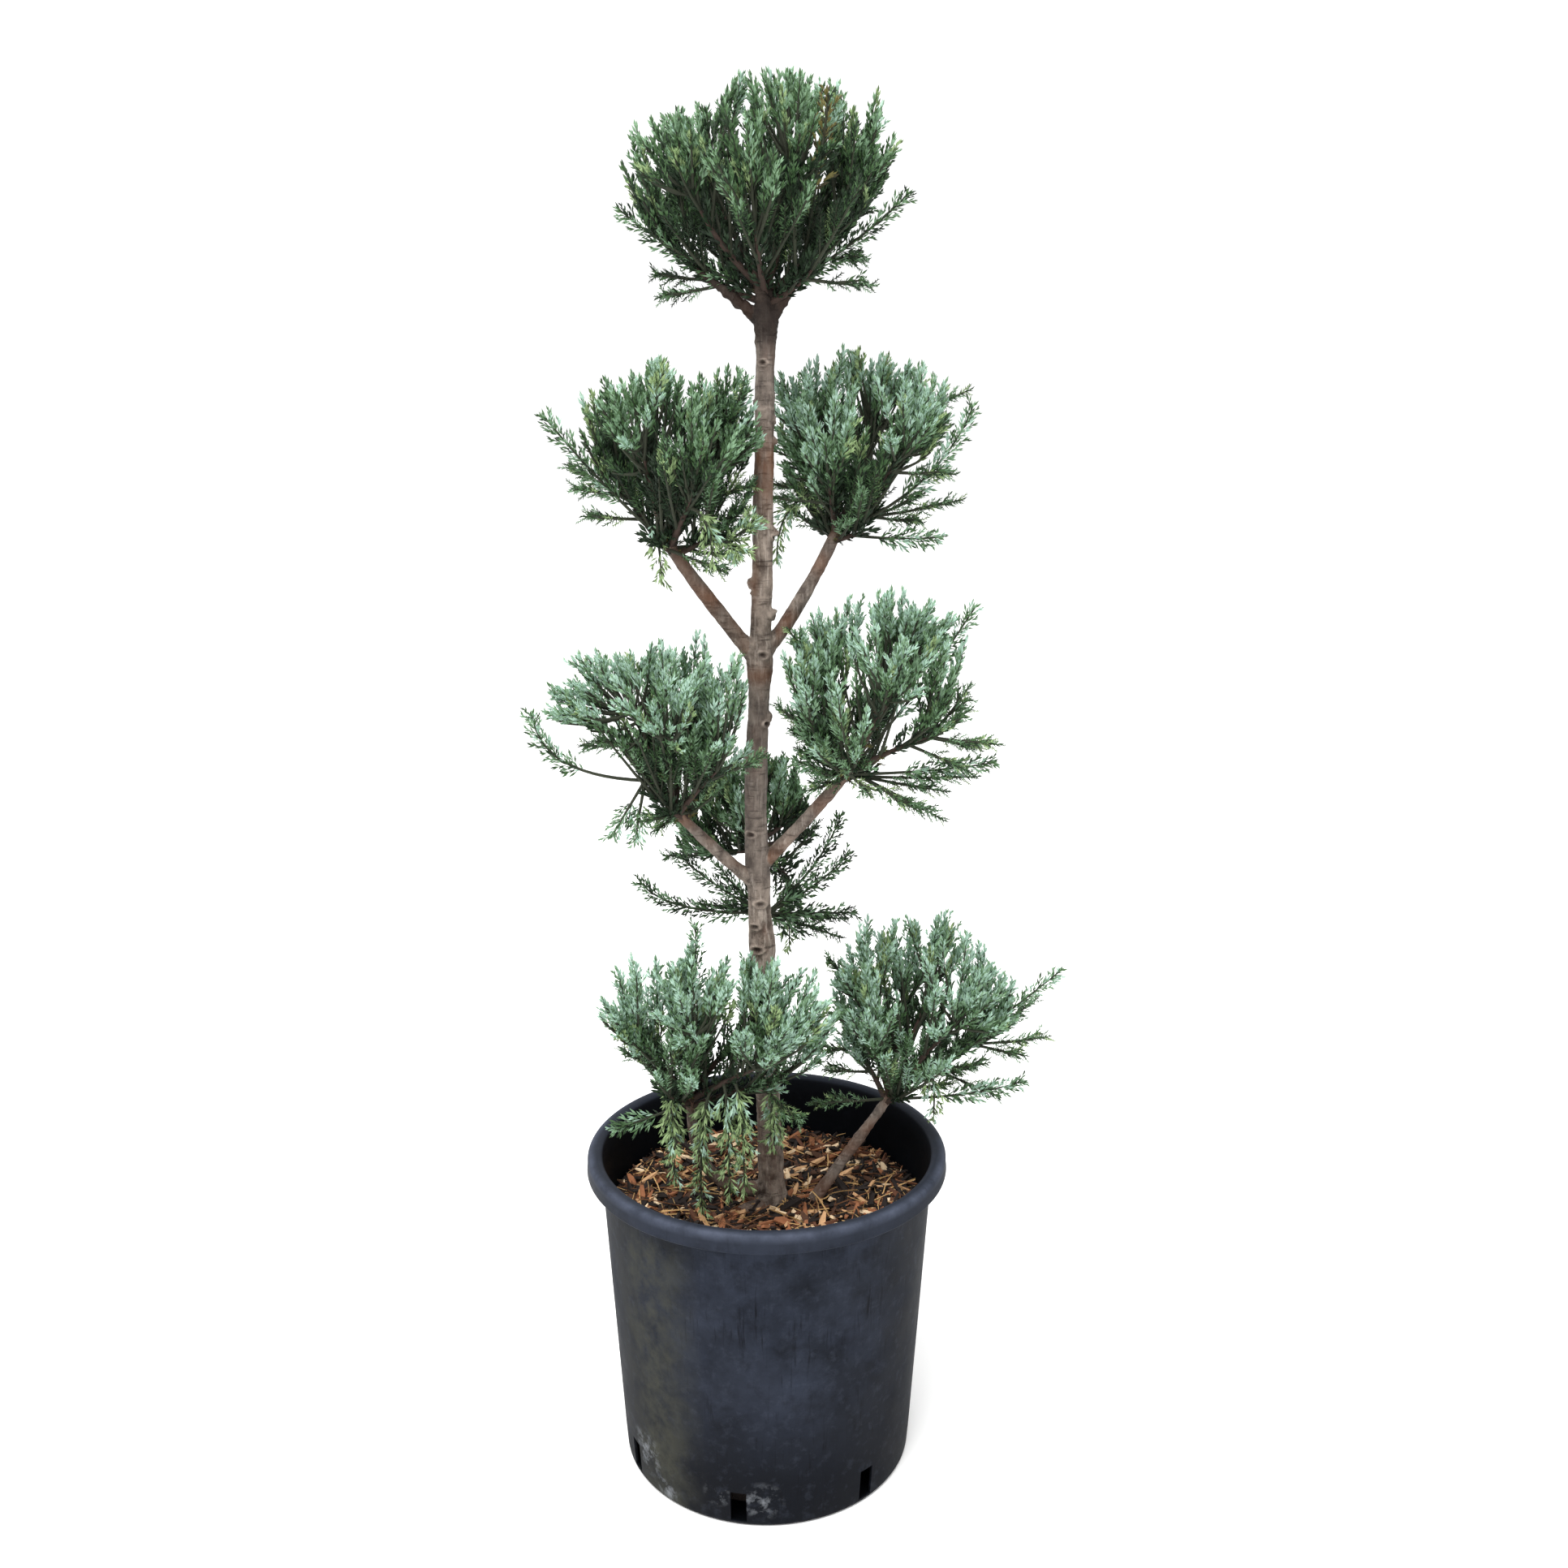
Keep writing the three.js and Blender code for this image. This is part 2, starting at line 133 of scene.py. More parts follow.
def twoTone(name, light, dark, size, sockets, detail=2, rough=0.5, bump=None, spread=None):
    # plain material of two tones, mottled size mm across
    material, tree, shader, coords = startMaterial(name, sockets)
    look = {"Scale": 1 / (size * mm), "Detail": detail, "Roughness": rough}
    mottle = addNode(tree, "ShaderNodeTexNoise", look, {"Vector": coords})
    layCoats(tree, shader, dark, light, mottle)
    finishSurface(tree, shader, mottle, mottle, bump, spread)
    return material


def startTree(name, inputs):  # Geometry Nodes tree with named inputs
    tree = bpy.data.node_groups.new(name, "GeometryNodeTree")
    tree.interface.new_socket("Geometry", in_out="INPUT", socket_type="NodeSocketGeometry")
    tree.interface.new_socket("Geometry", in_out="OUTPUT", socket_type="NodeSocketGeometry")
    for label, kind in inputs.items():
        tree.interface.new_socket(label, in_out="INPUT", socket_type="NodeSocket" + kind)
    return tree, tree.nodes.new("NodeGroupInput").outputs


def endTree(tree, geometry, materials, *tints):  # realize, then one Set Material for each sum of the tints
    geometry = addNode(tree, "GeometryNodeRealizeInstances", links={0: geometry})
    read = [addNode(tree, "GeometryNodeInputNamedAttribute", {0: name}, data_type="INT") for name in tints]
    for i, material in enumerate(materials):
        links = {0: geometry}
        if read:
            whole = addNode(tree, "FunctionNodeIntegerMath", {1: 0}, dict(enumerate(read)))
            links[1] = addNode(tree, "FunctionNodeCompare", {3: i}, {2: whole},
                               data_type="INT", operation="EQUAL")
        geometry = addNode(tree, "GeometryNodeSetMaterial", {2: material}, links)
    addNode(tree, "NodeGroupOutput", links={0: geometry})


def runTree(obj, tree, inputs):  # leaves the tree's result on obj as a plain mesh
    modifier = obj.modifiers.new(tree.name, "NODES")
    modifier.node_group = tree
    for item in tree.interface.items_tree:
        if item.in_out == "INPUT" and item.name in inputs:
            modifier[item.identifier] = inputs[item.name]
    plainMesh(obj)


def plainMesh(obj):  # applies every modifier
    graph = bpy.context.evaluated_depsgraph_get()
    mesh = bpy.data.meshes.new_from_object(obj.evaluated_get(graph), depsgraph=graph)
    obj.modifiers.clear()
    old = obj.data
    obj.data = mesh
    bpy.data.meshes.remove(old)
    mesh.name = obj.name


def newObject(name, mesh):
    obj = bpy.data.objects.new(name, mesh)
    bpy.context.scene.collection.objects.link(obj)
    return obj


def objectOf(name, shape):  # bmesh in millimetres to an object in metres
    mesh = bpy.data.meshes.new(name)
    shape.to_mesh(mesh)
    shape.free()
    mesh.transform(Matrix.Scale(mm, 4))
    return newObject(name, mesh)


def smoothShade(mesh, sharpDegrees):
    mesh.polygons.foreach_set("use_smooth", [True] * len(mesh.polygons))
    mesh.set_sharp_from_angle(angle=math.radians(sharpDegrees))


def addPiece(obj, slot, *nodes):  # attaches a finished piece to the body and hides the solids it stands for
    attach(obj, "root")
    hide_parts(*nodes)
    obj.data.calc_loop_triangles()
    print("  ", obj.name, len(obj.data.loop_triangles), "triangles")


def joinRings(shape, rings, capped=False):  # walls between rings of corners, where a ring may be one corner
    for a, b in zip(rings, rings[1:]):
        for k in range(len(a)):
            m = (k + 1) % len(a)
            shape.faces.new(list(dict.fromkeys([a[k], a[m], b[m], b[k]])))
    if capped:
        shape.faces.new(rings[0])
        shape.faces.new(rings[-1][::-1])
    bmesh.ops.recalc_face_normals(shape, faces=shape.faces)


def around(count):  # even angles round a circle
    return [2 * math.pi * k / count for k in range(count)]


def chance(*indices):  # repeatable number from 0 to 1
    phase = 4.1414 + sum(index * (12.9898 + 65.314 * place) for place, index in enumerate(indices))
    return math.sin(phase) * 43758.5453 % 1


def taper(a, b, t):
    return a + (b - a) * t


def near(value, at, width):  # 1 at a place, fading to both sides
    return math.exp(-((value - at) / width) ** 2)


def past(value, edge, width):  # 0 before an edge, 1 past it
    return 1 / (1 + math.exp((edge - value) / width))


def mixed(*parts):  # one direction out of several, by their shares
    return sum((Vector(way) * share for way, share in parts), Vector()).normalized()


def sideways(way, turn):  # square to way, turned about it
    level = way.cross(up)
    level = level.normalized() if level.length > 1e-6 else Vector((1, 0, 0))
    return Quaternion(way, turn) @ level


def bow(a, b, c, steps):  # quadratic curve from a to c that leans towards b
    ts = [i / steps for i in range(steps + 1)]
    return [a * (1 - t) ** 2 + b * 2 * t * (1 - t) + c * t * t for t in ts]


def throughPoints(points, steps):  # smooth curve through a few points
    padded = [points[0] * 2 - points[1], *points, points[-1] * 2 - points[-2]]
    curve = []
    for a, b, c, d in zip(padded, padded[1:], padded[2:], padded[3:]):
        for i in range(steps):
            t = i / steps
            cubic = (b * 3 - a - c * 3 + d) * t ** 3
            curve.append((b * 2 + (c - a) * t + (a * 2 - b * 5 + c * 4 - d) * t * t + cubic) * 0.5)
    return curve + [points[-1]]


# Camera at the photo's angle, soft light, pale floor

def setStage():
    view = {"downTilt": 0.22, "rightTurn": 0.0129, "lens": 32.99, "sensor": 36, "floorHalf": 30000}
    light = {"horizon": 1.0, "overhead": 1.4, "left": 1.14, "right": 1.0,
             "place": (-0.6, -1.2, 3.2), "aim": (0, 0, 0.6), "size": 2.0, "watts": 115}
    scene = bpy.context.scene
    scene.view_settings.view_transform = "Standard"

    lens = bpy.data.cameras.new("camera")
    lens.lens = view["lens"]
    lens.sensor_width = view["sensor"]
    camera = bpy.data.objects.new("camera", lens)
    camera.location = eye * mm
    camera.rotation_euler = (math.pi / 2 - view["downTilt"], 0, -view["rightTurn"])
    scene.collection.objects.link(camera)
    scene.camera = camera

    scene.world = bpy.data.worlds.new("studio")
    scene.world.use_nodes = True
    tree = scene.world.node_tree
    sky = tree.nodes["Background"]
    sky.inputs["Color"].default_value = (1, 1, 1, 1)
    aloft = addNode(tree, "ShaderNodeTexCoord").outputs["Generated"]  # on a world this is the way looked
    looked = addNode(tree, "ShaderNodeSeparateXYZ", links={0: aloft}).outputs
    glow = addNode(tree, "ShaderNodeMapRange", {3: light["horizon"], 4: light["overhead"]}, {0: looked["Z"]})
    side = addNode(tree, "ShaderNodeMapRange", {1: -1, 2: 1, 3: light["left"], 4: light["right"]},
                   {0: looked["X"]})
    strength = addNode(tree, "ShaderNodeMath", links={0: glow, 1: side}, operation="MULTIPLY")
    tree.links.new(strength.outputs[0], sky.inputs["Strength"])

    lamp = bpy.data.lights.new("softbox", "AREA")
    lamp.shape = "DISK"
    lamp.size = light["size"]
    lamp.energy = light["watts"]
    softbox = bpy.data.objects.new("softbox", lamp)
    softbox.location = light["place"]
    aim = Vector(light["aim"]) - softbox.location
    softbox.rotation_euler = aim.to_track_quat("-Z", "Y").to_euler()
    scene.collection.objects.link(softbox)

    shape = bmesh.new()
    bmesh.ops.create_grid(shape, x_segments=2, y_segments=2, size=view["floorHalf"])
    floor = objectOf("floor", shape)
    paper = twoTone("studioPaper", "#FCFCFC", "#F8F8F7", 400, {"Roughness": 0.9})  # matte, almost white
    floor.data.materials.append(paper)


setStage()
print("camera, light and floor set")


# Pot: blow-moulded black polyethylene, dusty from the nursery

pot = {
    "height": 271, "rimRadius": 150, "rimHeight": 15, "rimWidth": 11, "neckRadius": 139,
    "footRadius": 122, "wall": 2.6, "floor": 3.2, "segments": 160,
    "slots": 7, "slotWidth": 13, "slotDeep": 16, "slotLow": 4, "slotHigh": 31, "firstSlot": -11,
    "mixTop": 220,
    # lime marks: place on the wall, size
    "lime": [((-97, -73, 34), 24), ((-81, -91, 12), 14), ((-5, -122, 24), 20), ((-40, -115, 27), 13)],
}


def wallRadius(z):
    return pot["footRadius"] + (pot["neckRadius"] - pot["footRadius"]) * z / pot["height"]


def arc(centre, radius, start, end, steps):  # points on a round of the pot's profile
    angles = [math.radians(taper(start, end, i / steps)) for i in range(steps + 1)]
    return [(centre[0] + radius * math.cos(a), centre[1] + radius * math.sin(a)) for a in angles]


def lathe(profile, segments):  # closed body from a profile that starts and ends on the axis
    shape = bmesh.new()
    rings = []
    for r, z in profile:
        if r == 0:
            rings.append([shape.verts.new((0, 0, z))] * segments)
        else:
            rings.append([shape.verts.new((r * math.cos(t), r * math.sin(t), z)) for t in around(segments)])
    joinRings(shape, rings)
    return shape


def polyethylene():  # matte black plastic: grey-blue bloom, dust, rubs, olive stain, lime by the slots
    material, tree, shader, coords = startMaterial("polyethylene", {"IOR": 1.51, "Specular IOR Level": 0.05})
    x, y, z = addNode(tree, "ShaderNodeSeparateXYZ", links={0: coords}).outputs
    turn = addNode(tree, "ShaderNodeMath", links={0: x, 1: y}, operation="ARCTAN2")
    flat = addNode(tree, "ShaderNodeVectorMath", {1: (1, 1, 0)}, {0: coords}, operation="MULTIPLY")
    away = addNode(tree, "ShaderNodeVectorMath", links={0: flat}, operation="LENGTH").outputs["Value"]
    slope = (pot["footRadius"] - pot["neckRadius"]) / pot["height"]
    straight = addNode(tree, "ShaderNodeMath", {1: slope}, {0: z, 2: away}, operation="MULTIPLY_ADD")
    inner = pot["footRadius"] - 1

    def cloud(*look):
        return patches(tree, coords, *look)

    bloom = overlap(tree, cloud(60, 0.3, 0.72))
    coats = [
        ("#0A0C11", (z, 170 * mm, 10 * mm, 0.8)),  # painted shade, darker towards the foot
        # dusty front, with clean patches in the dust
        ("#373D4B", (y, -70 * mm, -125 * mm, 1), (z, 40 * mm, 150 * mm, 1), cloud(75, 0.3, 0.75, 0.74)),
        ("#0D0F14", cloud(28, 0.52, 0.66, 0.5)),
        ("#3A3F4B", cloud(9, 0.53, 0.76, 0.3)),  # scuffs
        # rubs 2.5 mm wide, 40 mm long
        ("#0A0B10", cloud(2.5, 0.57, 0.74, 1, (1, 1, 0.06), 2, 0.5), cloud(45, 0.44, 0.58, 0.85)),
        ("#282C35", (z, 254 * mm, 262 * mm, 0.55)),  # rim rubbed paler
        # olive stain on the left of the front, by the angle round the pot
        ("#3B3B33", (turn, -2.75, -2.4, 1), (turn, -1.95, -2.35, 1), (z, 258 * mm, 236 * mm, 1),
         cloud(30, 0.36, 0.62, 0.85)),
    ]
    for spot, size in pot["lime"]:  # thin white crusts beside the left and the middle slot
        apart = addNode(tree, "ShaderNodeVectorMath", {1: [s * mm for s in spot]}, {0: coords},
                        operation="DISTANCE").outputs["Value"]
        coats.append(("#8E9298", (apart, size * mm, size * 0.3 * mm, 1), cloud(11, 0.5, 0.72, 0.6)))
    coats += [
        # outer top edge of the rim: painted highlight, broken into patches
        ("#565C6C", (z, 264 * mm, 270 * mm, 1), (away, 142 * mm, 147 * mm, 1), cloud(30, 0.25, 0.65, 0.5)),
        ("#050608", (straight, inner * mm, (inner - 1) * mm, 0.85)),  # inner face of the wall: painted shade inside the pot
    ]
    layCoats(tree, shader, "#0A0D12", "#171B24", bloom, coats)
    pebble = addNode(tree, "ShaderNodeTexNoise", {"Scale": 1 / (1.6 * mm), "Detail": 2}, {"Vector": coords})
    finishSurface(tree, shader, bloom, pebble, (0.25, 0.2), (0.5, 0.7))
    return material


def slotTree():  # drain slots cut round the foot
    tree, size = startTree("drainSlots", {
        "Count": "Int", "Radius": "Float", "Size": "Vector", "Middle": "Float", "First": "Float",
    })
    ring = addNode(tree, "GeometryNodeMeshCircle",
                   links={"Vertices": size["Count"], "Radius": size["Radius"]})
    cutter = addNode(tree, "GeometryNodeMeshCube", links={"Size": size["Size"]})
    out = addNode(tree, "GeometryNodeInputPosition")
    facing = addNode(tree, "FunctionNodeAlignRotationToVector", links={2: out}, axis="Y")
    cutters = addNode(tree, "GeometryNodeInstanceOnPoints", links={0: ring, 2: cutter, 5: facing})
    lift = addNode(tree, "ShaderNodeCombineXYZ", links={2: size["Middle"]})
    turn = addNode(tree, "ShaderNodeCombineXYZ", links={2: size["First"]})
    placed = addNode(tree, "GeometryNodeTransform",
                     links={0: cutters, "Translation": lift, "Rotation": turn})
    solid = addNode(tree, "GeometryNodeRealizeInstances", links={0: placed})
    cut = addNode(tree, "GeometryNodeMeshBoolean", links={0: size["Geometry"], 1: solid},
                  operation="DIFFERENCE", solver="EXACT")
    endTree(tree, cut, [polyethylene()])
    return tree


def makePot():
    top, rim, wall = pot["height"], pot["rimRadius"], pot["wall"]
    skirt = top - pot["rimHeight"]
    inner = rim - pot["rimWidth"] - wall
    profile = [(0, 0), (pot["footRadius"] - 14, 0), (pot["footRadius"] - 12, 1)]
    profile += arc((pot["footRadius"] - 4, 4), 4, -90, 0, 4)
    profile += [(wallRadius(z), z) for z in range(20, 241, 20)]
    profile += arc((wallRadius(skirt) + 2, skirt - 2), 2, 180, 90, 3)
    profile += arc((rim - 1.6, skirt + 1.6), 1.6, -90, 0, 3)
    profile += [(rim - 0.5, top - 9)]
    profile += arc((rim - 5.5, top - 5), 5, 10, 90, 6)
    profile += arc((inner + 4.5, top - 4), 4, 90, 175, 5)
    profile += [(wallRadius(z) - wall, z) for z in range(250, 9, -20)]
    profile += [(wallRadius(pot["floor"]) - wall, pot["floor"]), (0, pot["floor"])]
    body = objectOf("pot_shell", lathe(profile, pot["segments"]))
    tall = pot["slotHigh"] - pot["slotLow"]
    runTree(body, slotTree(), {
        "Count": pot["slots"],
        "Radius": wallRadius(pot["slotLow"]) * mm,
        "Size": Vector((pot["slotWidth"], pot["slotDeep"], tall)) * mm,
        "Middle": (pot["slotLow"] + tall / 2) * mm,
        "First": math.radians(pot["firstSlot"] - 90),
    })
    smoothShade(body.data, 40)
    addPiece(body, "pot", "pot")


makePot()
print("pot made")


# Potting mix: dark soil under bark chips and straw-like fibres

mulch = {
    "edgeGap": 0.8, "rings": 26, "segments": 84, "sunk": 2, "swell": 3.2, "rootBall": 104, "roomShare": 1.9,
    # loose pieces: tones as light and dark, the last one repeated
    "bark_chips": {
        "shapes": 9, "density": 50000, "short": 6, "long": 32, "tilt": 34, "lift": 4.5, "seed": 5,
        "repeats": 4,
        "tones": [("barkTan", "#E2B487", "#A47C54"), ("barkOrange", "#A86E49", "#6C4129"),
                  ("barkBrown", "#5E3D29", "#2C1B11"), ("barkRed", "#70452E", "#3A2114"),
                  ("woodPale", "#FBE4C2", "#CDAA80"), ("barkDark", "#22140E", "#0A0604")],
    },
    "bark_fibres": {
        "shapes": 6, "density": 14000, "short": 12, "long": 46, "tilt": 22, "lift": 7.5, "seed": 11,
        "repeats": 0,
        "tones": [("strawPale", "#CDA872", "#A07A4A"), ("strawBrown", "#744B2B", "#4A2D19")],
    },
}


def soil():  # damp peaty soil: almost black-brown, crumbly
    return twoTone("peatSoil", "#20130D", "#080504", 4, {"Roughness": 0.95}, 5, bump=(0.8, 1.5))


def chipWood(name, light, dark):  # split bark and wood: long grain, dull, each chip one tone
    return twoTone(name, light, dark, 5, {"Roughness": 0.85, "IOR": 1.45}, 4, 0.65, bump=(0.5, 0.4))


def chipShape(i):  # split sliver one unit long: four stations of four corners, ragged ends
    shape = bmesh.new()
    wide, thick = 0.055 + 0.075 * chance(i, 1), 0.03 + 0.025 * chance(i, 2)
    stations = [(-0.5, 0.45), (-0.22, 1), (0.2, 0.9), (0.5, 0.35)]
    rings = []
    for k, (x, share) in enumerate(stations):
        drift = 0.06 * (chance(i, k, 3) - 0.5)
        half = wide * share * (0.75 + 0.5 * chance(i, k, 4))
        deep = thick * (0.6 + 0.4 * share)
        corners = [(-half, -deep), (half, -deep * 0.8), (half * 0.8, deep), (-half * 0.9, deep * 0.7)]
        skew = 0.08 * (chance(i, k, 5) - 0.5)
        rings.append([shape.verts.new((x + skew * (y > 0), y + drift, z)) for y, z in corners])
    joinRings(shape, rings, True)
    return shape


def fibreShape(i):  # thin bent strand one unit long
    shape = bmesh.new()
    rings = []
    for k in range(5):
        x = k / 4 - 0.5
        y = 0.12 * math.sin(2.2 * x + 5 * chance(i, 6)) + 0.04 * (chance(i, k, 7) - 0.5)
        z = 0.05 * (1 - 4 * x * x) * chance(i, 8)
        thick = 0.016 * (1 - 0.5 * abs(x))
        corners = [(y + thick * math.cos(t), z + thick * math.sin(t)) for t in around(3)]
        rings.append([shape.verts.new((x, *corner)) for corner in corners])
    joinRings(shape, rings, True)
    return shape


def shapeShelf(name, shapes):  # collection of shapes for a tree to pick from, not in the scene
    shelf = bpy.data.collections.new(name)
    for i, shape in enumerate(shapes):
        mesh = bpy.data.meshes.new(f"{name}{i:02d}")
        shape.to_mesh(mesh)
        shape.free()
        shelf.objects.link(bpy.data.objects.new(mesh.name, mesh))
    return shelf


def clearShelf(shelf):
    for obj in list(shelf.objects):
        bpy.data.meshes.remove(obj.data)
    bpy.data.collections.remove(shelf)


def scatterTree(name, count, materials):  # loose pieces lying on a surface, smaller towards the pot wall
    tree, size = startTree(name, {
        "Shapes": "Collection", "Density": "Float", "Shortest": "Float", "Longest": "Float",
        "Tilt": "Float", "Lift": "Float", "Wall": "Float", "Seed": "Int",
    })
    points = addNode(tree, "GeometryNodeDistributePointsOnFaces",
                     links={0: size["Geometry"], "Density": size["Density"], "Seed": size["Seed"]})
    shelf = addNode(tree, "GeometryNodeCollectionInfo", {1: True, 2: True}, {0: size["Shapes"]})
    seeds = [addNode(tree, "ShaderNodeMath", {1: i}, {0: size["Seed"]}) for i in range(1, 8)]
    pick = addNode(tree, "FunctionNodeRandomValue", {4: 0, 5: count - 1}, {"Seed": seeds[0]},
                   data_type="INT")
    down = addNode(tree, "ShaderNodeMath", {1: -1}, {0: size["Tilt"]}, operation="MULTIPLY")
    rolls = [addNode(tree, "FunctionNodeRandomValue", links={2: down, 3: size["Tilt"], "Seed": seed},
                     data_type="FLOAT").outputs[1] for seed in seeds[1:3]]
    yaw = addNode(tree, "FunctionNodeRandomValue", {2: 0, 3: 2 * math.pi}, {"Seed": seeds[3]},
                  data_type="FLOAT")
    angles = addNode(tree, "ShaderNodeCombineXYZ", links={0: rolls[0], 1: rolls[1], 2: yaw.outputs[1]})
    turned = addNode(tree, "FunctionNodeEulerToRotation", links={0: angles})
    long = addNode(tree, "FunctionNodeRandomValue",
                   links={2: size["Shortest"], 3: size["Longest"], "Seed": seeds[4]}, data_type="FLOAT")
    spot = addNode(tree, "GeometryNodeInputPosition")
    flat = addNode(tree, "ShaderNodeVectorMath", {1: (1, 1, 0)}, {0: spot}, operation="MULTIPLY")
    away = addNode(tree, "ShaderNodeVectorMath", links={0: flat}, operation="LENGTH").outputs["Value"]
    room = addNode(tree, "ShaderNodeMath", links={0: size["Wall"], 1: away}, operation="SUBTRACT")
    most = addNode(tree, "ShaderNodeMath", {1: mulch["roomShare"]}, {0: room}, operation="MULTIPLY")
    capped = addNode(tree, "ShaderNodeMath", links={0: long.outputs[1], 1: most}, operation="MINIMUM")
    laid = addNode(tree, "GeometryNodeInstanceOnPoints", {3: True},
                   {0: points, 2: shelf, 4: pick.outputs[2], 5: turned, 6: capped})
    height = addNode(tree, "FunctionNodeRandomValue", {2: 0}, {3: size["Lift"], "Seed": seeds[5]},
                     data_type="FLOAT")
    raised = addNode(tree, "ShaderNodeCombineXYZ", links={2: height.outputs[1]})
    piled = addNode(tree, "GeometryNodeTranslateInstances", {3: False}, {0: laid, 2: raised})
    tone = addNode(tree, "FunctionNodeRandomValue", {4: 0, 5: len(materials) - 1}, {"Seed": seeds[6]},
                   data_type="INT")
    tinted = addNode(tree, "GeometryNodeStoreNamedAttribute", {2: "tint"}, {0: piled, 3: tone.outputs[2]},
                     data_type="INT", domain="INSTANCE")
    endTree(tree, tinted, materials, "tint")
    return tree


def soilHeight(x, y):
    lump = noise.noise(Vector((x, y, 7)) / 34) + 0.5 * noise.noise(Vector((x, y, 3)) / 13)
    return pot["mixTop"] - mulch["sunk"] + mulch["swell"] * lump


def makeMulch():
    edge = wallRadius(pot["mixTop"]) - pot["wall"] - mulch["edgeGap"]
    heights = [8, 60, 150, pot["mixTop"] - 8]
    sides = [mulch["rootBall"], mulch["rootBall"] + 4, wallRadius(150) - pot["wall"] - 2, edge]
    profile = [(0, heights[0])] + list(zip(sides, heights))
    profile += [(edge * (1 - i / mulch["rings"]), pot["mixTop"]) for i in range(mulch["rings"] + 1)]
    shape = lathe(profile, mulch["segments"])
    for vert in shape.verts:
        if vert.co.z > pot["mixTop"] - 1:
            vert.co.z = soilHeight(vert.co.x, vert.co.y)
    tops = [f for f in shape.faces if f.normal.z > 0.5 and f.calc_center_median().z > pot["mixTop"] - 9]
    bed = bmesh.new()
    for face in tops:
        bed.faces.new([bed.verts.new(v.co) for v in face.verts])
    beds = {name: objectOf(name, bed.copy()) for name in ("bark_chips", "bark_fibres")}
    bed.free()
    ground = objectOf("peat_soil", shape)
    ground.data.materials.append(soil())
    smoothShade(ground.data, 60)
    addPiece(ground, "potting_mix", "potting_mix")

    for name, makeShape in (("bark_chips", chipShape), ("bark_fibres", fibreShape)):
        loose = mulch[name]
        tones = [chipWood(*tone) for tone in loose["tones"]]
        tones += tones[-1:] * loose["repeats"]
        shelf = shapeShelf(name, [makeShape(i) for i in range(loose["shapes"])])
        runTree(beds[name], scatterTree(name, loose["shapes"], tones), {
            "Shapes": shelf, "Density": float(loose["density"]), "Shortest": loose["short"] * mm,
            "Longest": loose["long"] * mm, "Tilt": math.radians(loose["tilt"]), "Lift": loose["lift"] * mm,
            "Wall": edge * mm, "Seed": loose["seed"],
        })
        clearShelf(shelf)
        addPiece(beds[name], "potting_mix", "potting_mix")


makeMulch()
print("potting mix made")


# Trunk and boughs: one skin of thin bark with rings, scars and stubs

trunk = {
    "line": [(5, 0, 208), (-3, 1, 430), (-8, 0, 560), (-3, -1, 720), (1, 0, 936)], "stemLong": 24.3,
    "baseRadius": 10.2, "tipRadius": 6.6, "flare": 5.5, "flareHeight": 14, "ground": 220,
    "swells": [(446, 1.6), (507, 0.8), (678, 2.4), (930, 2.2)], "swellHeight": 13,
    # forks under the top tuft: bend and tip
    "forks": [((-15, -4, 941), (-50, -8, 966)), ((12, -4, 945), (34, -8, 972)),
              ((-3, -9, 950), (-8, -20, 984))], "forkRadius": (6.4, 2),
    # cut stub low on the left of the trunk
    "lowStub": [(2, -8, 221), (-8, -16, 222), (-17, -21, 222), (-24, -24, 221.5)],
    "lowStubRadii": [6.5, 5.8, 5.6, 4.2],
}
boughs = {  # points: foot, bend and tip
    "bough_low_left": {"points": [(3, -2, 234), (-56, -18, 226), (-61, -36, 315)], "thick": (6, 4.4)},
    "bough_low_right": {"points": [(33, -6, 212), (66, 2, 258), (95, 8, 297)], "thick": (5.2, 4.2)},
    "bough_mid_left": {"points": [(-6, 0, 496), (-34, -16, 524), (-60, -30, 555)], "thick": (5.4, 4.4)},
    "bough_mid_right": {"points": [(-7, 0, 510), (22, -10, 542), (55, -22, 584)], "thick": (5.8, 4.6)},
    "bough_mid_back": {"points": [(-5, 0, 472), (-4, 34, 484), (-5, 58, 504)], "thick": (5, 4.2)},
    "bough_high_left": {"points": [(-4, 0, 676), (-36, -11, 716), (-64, -22, 757)], "thick": (6.6, 5.1)},
    "bough_high_right": {"points": [(-4, 0, 680), (26, 13, 716), (50, 26, 764)], "thick": (6.4, 5.1)},
}
relief = {
    "voxel": 1.15, "lump": 0.8, "lumpSize": 26, "ring": 0.5, "ringSize": 3, "grain": 0.35, "grainSize": 5,
    # cut stubs: height on the trunk, degrees round from the front, length past the bark, radius
    "stubs": [(632, 74, 4, 3), (774, 82, 3.5, 3), (736, -84, 4.5, 2.8), (712, 84, 4, 3.2),
              (600, -82, 5, 1.6), (842, 88, 3, 2.4), (560, 150, 5, 3), (870, -140, 4, 2.6),
              (410, 160, 5, 3.4)],
    # cut scars: height on the trunk, degrees round from the front, half width
    "scars": [(483, 5, 5), (464, -28, 4), (445, -21, 5), (630, 56, 4), (541, -28, 4), (684, 10, 4.5),
              (774, 80, 4), (733, -90, 4), (714, 85, 4.5), (901, -17, 3.5), (396, 120, 4), (590, 170, 4.5),
              (815, -150, 4), (860, 95, 3.5)],
    "scarRim": 1.6, "scarPit": 1.1, "edges": [868, 728], "shredHeight": 250, "shredStep": 0.8, "split": -48,
    # painted shade up the trunk, deepest under the tufts: height, share
    "dusk": [(220, 0.1), (440, 0), (484, 0.1), (510, 0.6), (640, 0.58), (690, 0.12), (780, 0), (850, 0.5),
             (915, 0.62)],
    "peeledAt": 822, "forkAt": 668, "streakAt": (738, -50), "darkCollarFrom": 914, "crownFrom": 880,
    "trunkTop": 950, "potTop": 320,
}
